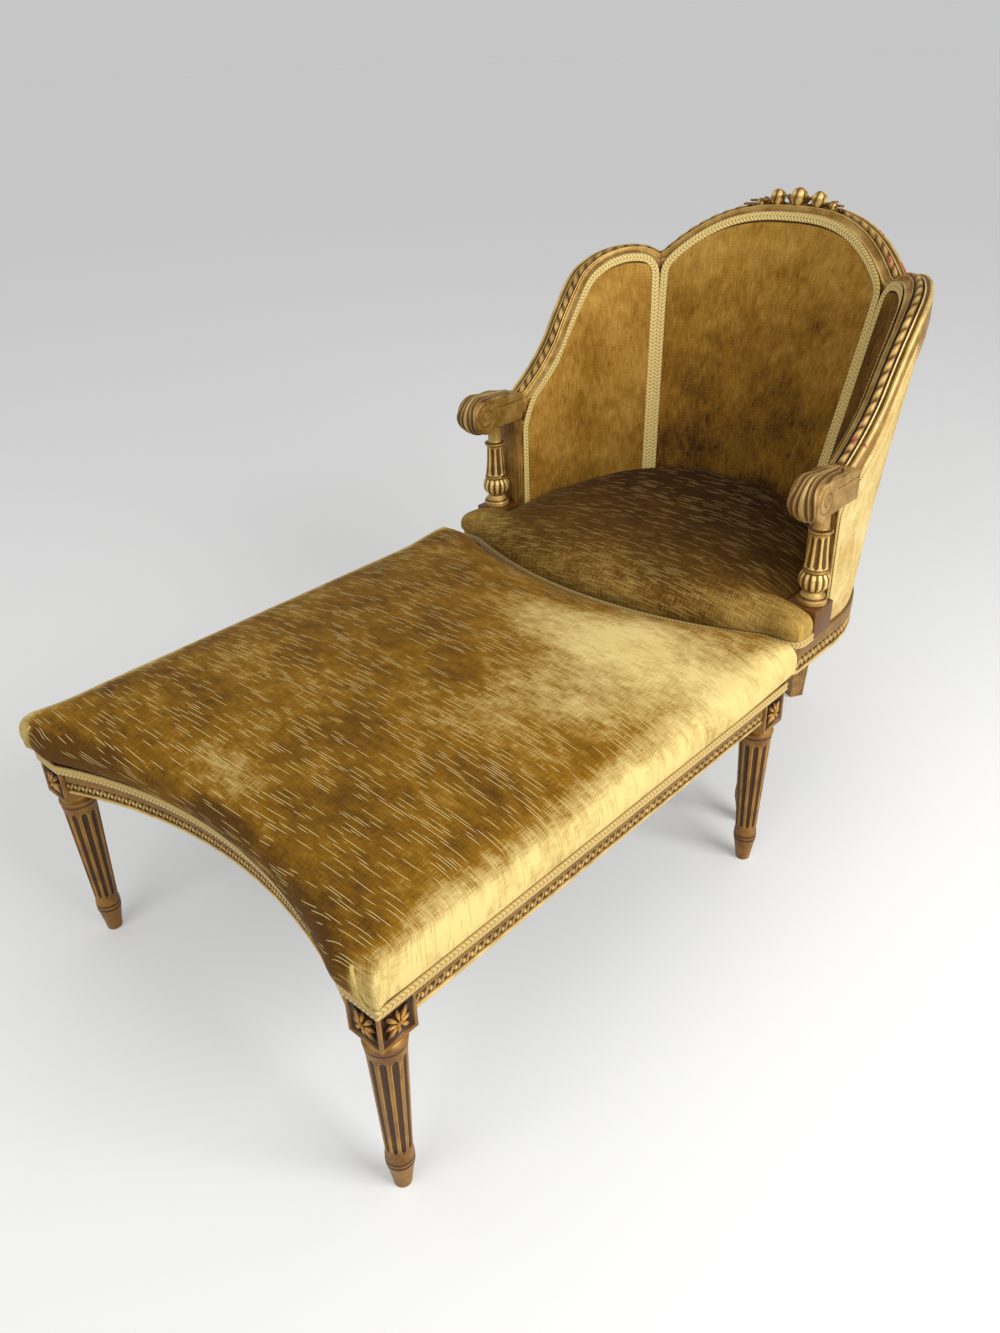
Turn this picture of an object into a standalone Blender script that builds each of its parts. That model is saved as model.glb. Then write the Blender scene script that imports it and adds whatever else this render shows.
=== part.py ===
"""Low carved giltwood bergere with a long matching footstool, upholstered in velvet.

Metres, +Z up. The chair's back is towards +Y and the footstool stands in front of it,
towards -Y. Both are symmetric about X = 0, and they stand on Z = 0.
"""

import math

import bmesh
import bpy
from mathutils import Vector

# Clearances
contact_gap = 0.0003
panel_gap = 0.0012
cut_overrun = 0.004
merge_distance = 0.00001

# Places along Y, chained from the footstool's front legs
middle_to_stool_legs = 0.5983
stool_leg_span = 0.6895
stool_to_chair_legs = 0.0745
post_setback = 0.0485
shell_setback = 0.0515

# Footstool
stool_leg_x = 0.295
stool_block_side = 0.048
seat_step = 0.042
stool_rail_height = 0.0315
stool_rail_lift = 0.0165
stool_end_sagitta = 0.058
stool_overhang = 0.017
stool_edge_rise = 0.066
stool_crown = 0.028

# Seat rails of both
rail_thickness = 0.022
rail_recess = 0.0035
strip_recess = 0.0025
fillet_share = 0.43
bead_share = 0.19

# Turned legs of both, all radii
leg_top_radius = 0.0235
leg_bottom_radius = 0.0148
collar_radius = 0.0245
ankle_ring_radius = 0.0178
toe_radius = 0.0090
turning_steps = 16
leg_height_shares = (0.985, 0.970, 0.945, 0.930, 0.905, 0.255, 0.205, 0.160, 0.125, 0.085)

# Chair seat
chair_corner_x = 0.290
chair_block_side = 0.049
chair_block_depth = 0.070
chair_leg_inset = 0.039
chair_leg_height = 0.280
chair_rail_lift = 0.005
chair_rail_height = 0.045
chair_bow = 0.057
chair_overhang = 0.003
chair_edge_rise = 0.042
chair_crown = 0.034
chair_rear_rise_share = 0.85
chair_rear_lean = 0.237
ear_width_share = 0.14
ear_cut_share = -0.70
ear_bow_share = 0.85
ear_row_shares = (0.84, 0.40)
seat_row_shares = (0.012, 0.11, 0.22, 0.33, 0.44, 0.55, 0.66, 0.77, 0.88, 0.96)

# Arm posts and arms
arm_block_rise = 0.0427
arm_block_front_setback = 0.0475
post_x = 0.294
post_neck_radius = 0.0104
post_ring_radius = 0.0152
post_shaft_radius = 0.0125
post_flare_radius = 0.0165
post_bulb_radius = 0.0215
post_waist_radius = 0.0130
post_base_radius = 0.0200
post_height_shares = (1.0, 1.0, 0.80, 0.775, 0.745, 0.72, 0.36, 0.325, 0.27, 0.21, 0.125, 0.105,
                      0.065, 0.0, 0.0)
arm_width = 0.046
arm_underside_z = 0.512
arm_top_z = 0.553
scroll_radius = 0.030
scroll_setback = 0.0360
scroll_rise = 0.010
scroll_turn = math.radians(270)
arm_bump = 0.006

# Shell of the back and wings. Its top line has straight wings, round corners and a bowed back,
# and it stands on half an ellipse at the seat
wing_x = 0.283
seat_line_depth = 0.235
seat_line_corner = math.radians(56.8)
wing_straight = 0.140
corner_radius = 0.166
corner_turn = math.radians(57.6)
rake_datum_z = 0.740
back_rake_share = 0.136
stile_width = 0.0277
back_stile_width = 0.022

# Top rails, measured from the plan line
top_rail_height = 0.034
top_rail_inner = 0.020
top_rail_outer = 0.022
top_rail_edge = 0.0035
top_rail_slope = 0.015
top_rail_level = 0.003
wing_rise = 0.197
crest_rise = 0.080
crest_power = 2.8
wing_line_shares = (
    (0.00, 0.00), (0.10, 0.10), (0.20, 0.22), (0.28, 0.35), (0.36, 0.53), (0.44, 0.70),
    (0.52, 0.84), (0.62, 0.93), (0.72, 0.98), (0.82, 1.00), (0.92, 0.985), (1.00, 0.93),
)

# Upholstery of the shell
pad_inner = 0.0175
pad_outer = 0.0195
pad_crown = 0.010
cover_inner = 0.0212
cover_thickness = 0.003
seat_clearance = 0.0035

# Back legs
back_leg_side = 0.034
back_foot_side = 0.024
back_foot_kick = 0.065
back_foot_splay = -0.034
back_leg_height_shares = (0.0, 0.45, 0.90)
back_leg_bend_shares = (1.0, 0.40, 0.0)

# Crest carving
rose_radius = 0.0160
rose_height = 0.0170
side_rose_radius = 0.0130
rose_spacing = 0.048
spray_half_length = 0.090
spray_width = 0.016
spray_height = 0.006
spray_top_share = 0.60
rose_depth_share = 0.85

# Trim, webbing, springs and cloths
gimp_height = 0.013
gimp_thickness = 0.002
cloth_thickness = 0.001
webbing_thickness = 0.0015
strap_width = 0.050
spring_radius = 0.026
spring_wire_radius = 0.0019
spring_turns = 3
spring_points_per_turn = 8
brace_side = 0.015
brace_height = 0.030
brace_reach = 0.062
chair_brace_reach = 0.090
brace_gap = 0.0009
stool_spring_x_share = 0.45
stool_spring_y_share = 0.20
chair_spring_x_share = 0.38

# Side outline of a seat cushion, from its tacked bottom edge to its top edge:
# shares of the overhang, and shares of the rise above the gimp
cushion_side_shares = ((0.75, 0.08), (1.00, 0.30), (1.00, 0.58), (0.72, 0.84), (0.20, 1.00))
tacked_inset = 0.003
crown_power = 2.6
corner_power = 10
corner_pull_share = 0.60
edge_cut_shares = (0.85, 0.96)
top_row_share = 0.999

# Heights and places that follow
stool_front_leg_y = -middle_to_stool_legs
stool_rear_leg_y = stool_front_leg_y + stool_leg_span
chair_leg_y = stool_rear_leg_y + stool_to_chair_legs
post_y = chair_leg_y + post_setback
shell_y = post_y + shell_setback
stool_leg_height = chair_leg_height - seat_step
stool_rail_bottom = stool_leg_height + stool_rail_lift
stool_rail_top = stool_rail_bottom + stool_rail_height
stool_side_face = stool_leg_x + stool_block_side / 2
stool_front_face = stool_front_leg_y - stool_block_side / 2
stool_rear_face = stool_rear_leg_y + stool_block_side / 2
chair_rail_bottom = chair_leg_height + chair_rail_lift
chair_rail_top = chair_rail_bottom + chair_rail_height
chair_side_face = chair_corner_x + chair_block_side / 2
seat_rail_offset = chair_side_face - rail_recess - rail_thickness / 2 - wing_x
chair_front_face = chair_leg_y - chair_block_side / 2
arm_block_front = chair_leg_y - chair_block_side / 2 + arm_block_front_setback
arm_block_top = chair_rail_top + arm_block_rise
corner_centre = Vector((wing_x - corner_radius, shell_y + wing_straight))
back_radius = corner_radius + corner_centre.x / math.cos(corner_turn)
back_centre_y = corner_centre.y + (corner_radius - back_radius) * math.sin(corner_turn)
shell_depth = back_centre_y + back_radius - shell_y
wing_run = wing_straight + corner_radius * corner_turn
back_run = back_radius * (math.pi / 2 - corner_turn)
half_run = wing_run + back_run

# Finishes: colour, roughness, metallic
GILT = ((0.30, 0.165, 0.045), 0.45, 0.55)
LEG_WOOD = ((0.17, 0.085, 0.028), 0.50, 0.30)
VELVET = ((0.40, 0.235, 0.050), 0.85, 0.0)
DARK_VELVET = ((0.26, 0.135, 0.022), 0.85, 0.0)
BRAID = ((0.62, 0.43, 0.13), 0.80, 0.0)
BEECH = ((0.42, 0.27, 0.14), 0.70, 0.0)
HESSIAN = ((0.34, 0.24, 0.13), 0.95, 0.0)
BLACK_CLOTH = ((0.02, 0.02, 0.02), 0.95, 0.0)
STEEL = ((0.35, 0.34, 0.32), 0.40, 1.0)


def clear_scene():
    for obj in list(bpy.data.objects):
        bpy.data.objects.remove(obj)


def new_collection(name):
    collection = bpy.data.collections.new(name)
    bpy.context.scene.collection.children.link(collection)
    return collection


def finish(obj, surface):
    colour, roughness, metallic = surface
    material = bpy.data.materials.new(obj.name)
    material.use_nodes = True
    shader = material.node_tree.nodes["Principled BSDF"]
    shader.inputs["Base Color"].default_value = (*colour, 1.0)
    shader.inputs["Roughness"].default_value = roughness
    shader.inputs["Metallic"].default_value = metallic
    obj.data.materials.append(material)


def add_object(name, data, surface, collection):
    obj = bpy.data.objects.new(name, data)
    collection.objects.link(obj)
    if surface:
        finish(obj, surface)
    return obj


def face_out(bm):
    """Turn every face outwards."""
    bmesh.ops.recalc_face_normals(bm, faces=bm.faces)
    if bm.calc_volume(signed=True) < 0:
        bmesh.ops.reverse_faces(bm, faces=bm.faces)


def add_bmesh(name, bm, surface, collection):
    mesh = bpy.data.meshes.new(name)
    bm.to_mesh(mesh)
    bm.free()
    return add_object(name, mesh, surface, collection)


def board(name, low, high, surface, collection):
    """A box between two corners."""
    bm = bmesh.new()
    bmesh.ops.create_cube(bm, size=1.0)
    low, high = Vector(low), Vector(high)
    bmesh.ops.scale(bm, vec=high - low, verts=bm.verts)
    bmesh.ops.translate(bm, vec=(low + high) / 2, verts=bm.verts)
    return add_bmesh(name, bm, surface, collection)


def even(count):
    """Evenly spaced cuts through a block that runs from -1 to 1."""
    return [2 * i / count - 1 for i in range(1, count)]


def formed(name, cuts, place, surface, collection):
    """A block cut at the given shares along three axes, each corner then put in its place."""
    bm = bmesh.new()
    bmesh.ops.create_cube(bm, size=2.0)
    for axis, shares in enumerate(cuts):
        normal = Vector((0, 0, 0))
        normal[axis] = 1
        for share in shares:
            geometry = bm.verts[:] + bm.edges[:] + bm.faces[:]
            bmesh.ops.bisect_plane(bm, geom=geometry, plane_co=normal * share, plane_no=normal)
    for vert in bm.verts:
        vert.co = place(*vert.co)
    face_out(bm)
    for face in bm.faces:
        face.smooth = True
    return add_bmesh(name, bm, surface, collection)


def loft(name, rings, surface, collection):
    """A closed solid through rings of equal count."""
    bm = bmesh.new()
    loops = [[bm.verts.new(point) for point in ring] for ring in rings]
    bm.faces.new(loops[0])
    bm.faces.new(loops[-1])
    for lower, upper in zip(loops, loops[1:]):
        for i in range(len(lower)):
            bm.faces.new((lower[i - 1], lower[i], upper[i], upper[i - 1]))
    face_out(bm)
    return add_bmesh(name, bm, surface, collection)


def turned(name, profile, x, y, surface, collection):
    """A turned piece: its profile lists (radius, height) from its top down its outer side."""
    bm = bmesh.new()
    verts = [bm.verts.new((radius, 0, height)) for radius, height in profile]
    for upper, lower in zip(verts, verts[1:]):
        bm.edges.new((upper, lower))
    obj = add_bmesh(name, bm, surface, collection)
    screw = obj.modifiers.new("turn", "SCREW")
    screw.angle = math.tau
    screw.steps = screw.render_steps = turning_steps
    screw.use_merge_vertices = True
    screw.merge_threshold = merge_distance
    obj.location = (x, y, 0)
    return obj


def join_with(obj, tool, operation="UNION"):
    boolean = obj.modifiers.new(tool.name, "BOOLEAN")
    boolean.operation = operation
    boolean.solver = "EXACT"
    boolean.object = tool
    tool.hide_render = True
    tool.display_type = "WIRE"


def poly_curve(name, points, cyclic, surface, collection):
    curve = bpy.data.curves.new(name, "CURVE")
    curve.dimensions = "3D"
    spline = curve.splines.new("POLY")
    spline.points.add(len(points) - 1)
    for target, point in zip(spline.points, points):
        target.co = (*point, 1)
    spline.use_cyclic_u = cyclic
    return add_object(name, curve, surface, collection)


def swept(name, points, section, surface, collection):
    """A rail along a path: the section lists (right of travel, up) corners."""
    outline = poly_curve(name + "_section", [(*corner, 0) for corner in section], True, None, tools)
    curve = poly_curve(name, points, False, None, collection)
    curve.data.twist_mode = "Z_UP"
    curve.data.bevel_mode = "OBJECT"
    curve.data.bevel_object = outline
    curve.data.use_fill_caps = True
    rail = as_mesh(curve, collection)
    bpy.data.objects.remove(outline)
    if surface:
        finish(rail, surface)
    return rail


def as_mesh(obj, collection):
    """The curve's evaluated shape as a mesh object, so that a Boolean can use it."""
    graph = bpy.context.evaluated_depsgraph_get()
    mesh = bpy.data.meshes.new_from_object(obj.evaluated_get(graph))
    bm = bmesh.new()
    bm.from_mesh(mesh)
    bmesh.ops.remove_doubles(bm, verts=bm.verts, dist=merge_distance)
    face_out(bm)
    bm.to_mesh(mesh)
    bm.free()
    name = obj.name
    matrix = obj.matrix_world.copy()
    bpy.data.objects.remove(obj)
    solid = bpy.data.objects.new(name, mesh)
    solid.matrix_world = matrix
    collection.objects.link(solid)
    return solid


def smooth_line(points, along):
    """Height at a place along a smooth curve through the points."""
    last = len(points) - 1
    i = max(1, min(last, sum(point[0] < along for point in points)))
    (x1, y1), (x2, y2) = points[i - 1], points[i]
    x0, y0 = points[i - 2] if i > 1 else (2 * x1 - x2, 2 * y1 - y2)
    x3, y3 = points[i + 1] if i < last else (2 * x2 - x1, 2 * y2 - y1)
    t = (along - x1) / (x2 - x1)
    m1 = (y2 - y0) / (x2 - x0) * (x2 - x1)
    m2 = (y3 - y1) / (x3 - x1) * (x2 - x1)
    return ((2 * t**3 - 3 * t**2 + 1) * y1 + (t**3 - 2 * t**2 + t) * m1
            + (3 * t**2 - 2 * t**3) * y2 + (t**3 - t**2) * m2)


def shell_frame(run):
    """Plan point and outward normal on the right half, run metres behind the front stile."""
    if run <= wing_straight:
        return Vector((wing_x, shell_y + run)), Vector((1, 0))
    if run <= wing_run:
        turn = (run - wing_straight) / corner_radius
        normal = Vector((math.cos(turn), math.sin(turn)))
        return corner_centre + corner_radius * normal, normal
    turn = corner_turn + (run - wing_run) / back_radius
    normal = Vector((math.cos(turn), math.sin(turn)))
    return Vector((0, back_centre_y)) + back_radius * normal, normal


def seat_line(run):
    """Plan point and outward normal where the shell's right half stands on the seat frame."""
    if run <= 0:
        return Vector((wing_x, shell_y + run)), Vector((1, 0))
    if run <= wing_run:
        turn = seat_line_corner * run / wing_run
    else:
        turn = seat_line_corner + (math.pi / 2 - seat_line_corner) * (run - wing_run) / back_run
    point = Vector((wing_x * math.cos(turn), shell_y + seat_line_depth * math.sin(turn)))
    return point, Vector((seat_line_depth * math.cos(turn), wing_x * math.sin(turn))).normalized()


def shell(run, out, z):
    """Point of the shell's right half, out metres outside it: straight from the seat to the top line."""
    top = wing_top(run) if run <= wing_run else crest_top(run)
    point, normal = shell_frame(run)
    high = point + normal * out
    rake = back_rake_share * (max(top, z) - rake_datum_z)
    high.y += rake * max(0, (high.y - shell_y) / shell_depth)
    point, normal = seat_line(run)
    low = point + normal * out
    place = low.lerp(high, min(1, max(0, (z - chair_rail_top) / (top - chair_rail_top))))
    return Vector((place.x, place.y, z))


def mirrored(point, side):
    return Vector((side * point[0], point[1], point[2]))


def wing_top(run):
    return arm_top_z + wing_rise * smooth_line(wing_line_shares, max(0, run) / wing_run)


def crest_top(run):
    spring = arm_top_z + wing_rise * wing_line_shares[-1][1]
    x = shell_frame(run)[0].x / shell_frame(wing_run)[0].x
    return spring + crest_rise * (1 - abs(x) ** crest_power)


def stool_arc(x):
    """How far the footstool's hollow end is set in from its corner blocks."""
    chord = stool_leg_x - stool_block_side / 2
    radius = (chord**2 + stool_end_sagitta**2) / (2 * stool_end_sagitta)
    x = min(abs(x), chord)
    return math.sqrt(radius**2 - x**2) - (radius - stool_end_sagitta)


def chair_arc(x):
    """How far the chair's bowed front stands out from its corner blocks."""
    chord = chair_corner_x - chair_block_side / 2
    radius = (chord**2 + chair_bow**2) / (2 * chair_bow)
    x = min(abs(x), chord)
    return math.sqrt(radius**2 - x**2) - (radius - chair_bow)


def seat_rail_section(height):
    """Outer face to the right: a top fillet, a sunk strip for the carving and a lower bead."""
    half = rail_thickness / 2
    sunk = half - strip_recess
    fillet, bead = height * fillet_share, height * bead_share
    bevel = strip_recess / 2
    return ((-half, 0), (half - bevel, 0), (half, bead / 2), (half, bead), (sunk, bead + bevel),
            (sunk, height - fillet - bevel), (half, height - fillet), (half, height), (-half, height))


def leg_profile(leg_height, overlap):
    """Turned leg from the block down: neck, thin collar, tapering shaft, ankle ring and toe."""
    radii = (leg_top_radius, collar_radius, collar_radius, leg_top_radius, leg_top_radius,
             leg_bottom_radius, ankle_ring_radius, ankle_ring_radius, leg_bottom_radius, toe_radius)
    rows = [(0, leg_height + overlap), (leg_top_radius, leg_height + overlap)]
    rows += [(radius, leg_height * share) for radius, share in zip(radii, leg_height_shares)]
    return rows + [(toe_radius, 0), (0, 0)]


def build_leg(name, x, y, leg_height, blocks):
    """A turned leg with the blocks over it, each given by its lowest and highest corners."""
    leg = turned(name, leg_profile(leg_height, cut_overrun), x, y, LEG_WOOD, parts)
    for number, (low, high) in enumerate(blocks, 1):
        join_with(leg, board(f"{name}_block_{number}", low, high, None, tools))
    return leg


def build_stool_frame():
    half_block = stool_block_side / 2
    for end, y in (("front", stool_front_leg_y), ("rear", stool_rear_leg_y)):
        for hand, side in (("left", -1), ("right", 1)):
            x = side * stool_leg_x
            block = ((x - half_block, y - half_block, stool_leg_height),
                     (x + half_block, y + half_block, stool_rail_top))
            build_leg(f"footstool_leg_{end}_{hand}", x, y, stool_leg_height, [block])
    section = seat_rail_section(stool_rail_height)
    rail_x = stool_side_face - rail_recess - rail_thickness / 2
    near = stool_front_leg_y + half_block + contact_gap
    far = stool_rear_leg_y - half_block - contact_gap
    right = ((rail_x, near, stool_rail_bottom), (rail_x, far, stool_rail_bottom))
    left = ((-rail_x, far, stool_rail_bottom), (-rail_x, near, stool_rail_bottom))
    swept("footstool_side_rail_right", right, section, GILT, parts)
    swept("footstool_side_rail_left", left, section, GILT, parts)
    reach = stool_leg_x - half_block - contact_gap
    for end, face, sign in (("front", stool_front_face, 1), ("rear", stool_rear_face, -1)):
        inset = rail_recess + rail_thickness / 2

        def centre(x, face=face, sign=sign, inset=inset):
            return sign * x, face + sign * (inset + stool_arc(x)), stool_rail_bottom

        curved_rail(f"footstool_end_rail_{end}", centre, reach, section)


def curved_rail(name, centre, reach, section):
    """A bowed or hollowed end rail, its ends squared to the block faces that they meet."""
    steps = 12
    places = [reach * (2 * i / steps - 1) for i in range(steps + 1)]
    places = [-reach - rail_thickness] + places + [reach + rail_thickness]
    rail = swept(name, [centre(x) for x in places], section, GILT, parts)
    y = centre(0)[1]
    low = (-reach, y - reach, 0)
    high = (reach, y + reach, stool_rail_top + chair_rail_top)
    join_with(rail, board(name + "_trim", low, high, None, tools), "INTERSECT")


def rail_depth(arc, x):
    """From the blocks' face line to a curved rail's inner side, measured straight along Y."""
    step = rail_thickness / 10
    slope = (arc(x + step) - arc(x - step)) / (2 * step)
    half = rail_thickness / 2
    return rail_recess + half + half * math.sqrt(1 + slope * slope) + brace_gap


def brace(name, wall_x, wall_y, towards, face, side, low, reach=brace_reach):
    """A block across the corner of a seat frame, between a side rail and an end rail."""
    across = brace_side * math.sqrt(2)
    plan = [(wall_x, wall_y + towards * brace_reach), (wall_x, wall_y + towards * (brace_reach + across))]
    plan += [(x, face(x)) for x in (wall_x - reach - across, wall_x - reach)]
    rings = [[(side * x, y, z) for x, y in plan] for z in (low, low + brace_height)]
    loft(name, rings, BEECH, parts)


def spring(name, x, y, low, high):
    """A coil spring between the webbing and the seat cloth."""
    base = low + spring_wire_radius + contact_gap
    top = high - spring_wire_radius - contact_gap
    count = spring_turns * spring_points_per_turn
    points = []
    for i in range(count + 1):
        turn = math.tau * i / spring_points_per_turn
        points.append((x + spring_radius * math.cos(turn), y + spring_radius * math.sin(turn),
                       base + (top - base) * i / count))
    coil = poly_curve(name, points, False, STEEL, parts)
    coil.data.bevel_depth = spring_wire_radius
    coil.data.bevel_resolution = 1
    coil.data.use_fill_caps = True
    pitch = (top - base) / spring_turns
    print(name, "least gap to itself, mm:", round((pitch - 2 * spring_wire_radius) * 1000, 2))


def webbing(name, half_width, low_y, high_y, strap_x, strap_y, top):
    """Woven straps under a seat, as one lattice: strap_x and strap_y hold the straps' middles."""
    half = strap_width / 2
    across = [x + side * half for x in strap_x for side in (-1, 1)]
    ys = [low_y] + [y + side * half for y in strap_y for side in (-1, 1)] + [high_y]
    bm = bmesh.new()
    grid = []
    for y in ys:
        reach = max(half_width(y), across[-1] + cut_overrun)
        grid.append([bm.verts.new((x, y, top)) for x in (-reach, *across, reach)])
    for j in range(len(ys) - 1):
        for i in range(len(across) + 1):
            if i % 2 or j % 2:
                bm.faces.new((grid[j][i], grid[j][i + 1], grid[j + 1][i + 1], grid[j + 1][i]))
    obj = add_bmesh(name, bm, HESSIAN, parts)
    solidify = obj.modifiers.new("thickness", "SOLIDIFY")
    solidify.thickness = webbing_thickness
    solidify.offset = -1
    return obj


def stool_plan(u, v, out):
    """Plan place on the footstool's outline, out metres outside its blocks."""
    x = u * (stool_side_face + out)
    front = stool_front_face - out + stool_arc(x)
    rear = stool_rear_face + out - stool_arc(x)
    return x, front + (rear - front) * (v + 1) / 2


def seat_limit(x, inset):
    """Y of the inside of the shell at the seat, at a distance x from the middle."""
    share = min(1, abs(x) / (wing_x - inset))
    return shell_y + (seat_line_depth - inset) * math.sqrt(1 - share * share)


def chair_plan(u, v, out, inset):
    """Plan place on the chair's seat: ears in front of the arm blocks, the shell behind them."""
    inner = wing_x - inset
    if v > ear_cut_share:
        x = u * inner
        notch = arm_block_front - seat_clearance - ear_bow_share * chair_arc(x)
        return x, notch + (seat_limit(x, inset) - notch) * (v - ear_cut_share) / (1 - ear_cut_share)
    kink = chair_corner_x - chair_block_side / 2
    past_kink = (abs(u) - 1 + ear_width_share) / ear_width_share
    if past_kink > 0:
        x = math.copysign(kink + (chair_side_face + out - kink) * past_kink, u)
    else:
        x = kink * u / (1 - ear_width_share)
    front = chair_front_face - out - chair_arc(x)
    notch = arm_block_front - seat_clearance - ear_bow_share * chair_arc(x)
    return x, front + (notch - front) * (v + 1) / (ear_cut_share + 1)


def side_rows(base, overhang, edge_rise):
    """Rows up a cushion's side: the tacked edge behind the gimp, then the bulging side."""
    clear = base + gimp_height + contact_gap
    rows = [(-tacked_inset, base), (-tacked_inset, clear)]
    rise = edge_rise - (clear - base)
    rows += [(share * overhang, clear + height * rise) for share, height in cushion_side_shares]
    return rows


def at_row(rows, w):
    """Offset and height for a place w, from -1 at the bottom to 1 at the top edge."""
    place = (w + 1) / 2 * (len(rows) - 1)
    i = min(int(place), len(rows) - 2)
    t = place - i
    return tuple(a + (b - a) * t for a, b in zip(rows[i], rows[i + 1]))


def crown_share(u, v):
    return (1 - abs(u) ** crown_power) * (1 - abs(v) ** crown_power)


def corner_pull(u, v):
    """How strongly a plan place belongs to a rounded corner."""
    return (abs(u) * abs(v)) ** corner_power


def bow_places(half, kink):
    """Places across an end that is straight at both corner blocks and curved between them."""
    steps = 12
    return [-half] + [kink * (2 * i / steps - 1) for i in range(steps + 1)] + [half]


def build_stool_seat():
    deck_bottom = stool_rail_top + contact_gap
    deck_top = deck_bottom + cloth_thickness
    cuts = (even(8), even(8), [])

    def deck(u, v, w):
        x, y = stool_plan(u, v, -tacked_inset)
        return Vector((x, y, deck_bottom if w < 0 else deck_top))

    formed("footstool_hessian", cuts, deck, HESSIAN, parts)
    base = deck_top + contact_gap
    rows = side_rows(base, stool_overhang, stool_edge_rise)

    def cushion(u, v, w):
        out, z = at_row(rows, w)
        x, y = stool_plan(u, v, out)
        pull = corner_pull(u, v) * stool_overhang * corner_pull_share
        x -= math.copysign(pull, u)
        y -= math.copysign(pull, v)
        if w > top_row_share:
            z += stool_crown * crown_share(u, v)
        return Vector((x, y, z))

    inner, outer = edge_cut_shares
    across = [-outer, -inner] + even(12)[1:-1] + [inner, outer]
    formed("footstool_cushion", (across, across, even(len(rows) - 1)), cushion, VELVET, parts)
    half, kink = stool_side_face + contact_gap, stool_leg_x - stool_block_side / 2
    places = bow_places(half, kink)
    front = [(x, stool_front_face - contact_gap + stool_arc(x)) for x in places]
    rear = [(-x, stool_rear_face + contact_gap - stool_arc(x)) for x in places]
    band("footstool_gimp", front + rear, True, stool_rail_top + contact_gap, gimp_height)
    gap_top = stool_rail_bottom - contact_gap
    mid_y = (stool_front_leg_y + stool_rear_leg_y) / 2
    reach_x = stool_side_face - rail_recess - rail_thickness / 2
    reach_y = stool_end_sagitta + rail_recess + rail_thickness / 2
    springs_x, springs_y = stool_leg_x * stool_spring_x_share, stool_leg_span * stool_spring_y_share
    webbing("footstool_webbing", lambda y: reach_x, stool_front_face + reach_y, stool_rear_face - reach_y,
            (-springs_x, 0, springs_x), (mid_y - springs_y, mid_y, mid_y + springs_y), gap_top)
    number = 0
    for x in (-springs_x, springs_x):
        for y in (mid_y - springs_y, mid_y + springs_y):
            number += 1
            spring(f"footstool_spring_{number}", x, y, gap_top, deck_bottom)
    cloth_top = gap_top - webbing_thickness - contact_gap

    def under_cloth(u, v, w):
        x, y = stool_plan(u, v, -rail_recess - rail_thickness / 2)
        x = math.copysign(min(abs(x), stool_leg_x - stool_block_side / 2 - contact_gap), x)
        return Vector((x, y, cloth_top if w > 0 else cloth_top - cloth_thickness))

    formed("footstool_bottom_cloth", cuts, under_cloth, BLACK_CLOTH, parts)


def build_stool_braces():
    wall = stool_side_face - rail_recess - rail_thickness - contact_gap
    low = stool_rail_top - brace_height - contact_gap
    for hand, side in (("left", -1), ("right", 1)):
        brace(f"footstool_brace_front_{hand}", wall, stool_front_leg_y, 1,
              lambda x: stool_front_face + stool_arc(x) + rail_depth(stool_arc, x), side, low)
        brace(f"footstool_brace_rear_{hand}", wall, stool_rear_leg_y, -1,
              lambda x: stool_rear_face - stool_arc(x) - rail_depth(stool_arc, x), side, low)


def band(name, path, closed, low, height):
    """A flat braid that stands on edge along a plan path, travelled with its outside to the right."""
    bm = bmesh.new()
    lower = [bm.verts.new((x, y, low)) for x, y in path]
    upper = [bm.verts.new((x, y, low + height)) for x, y in path]
    count = len(path)
    for i in range(count if closed else count - 1):
        j = (i + 1) % count
        bm.faces.new((lower[i], lower[j], upper[j], upper[i]))
    obj = add_bmesh(name, bm, BRAID, parts)
    solidify = obj.modifiers.new("thickness", "SOLIDIFY")
    solidify.thickness = gimp_thickness
    solidify.offset = 1
    return obj


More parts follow.
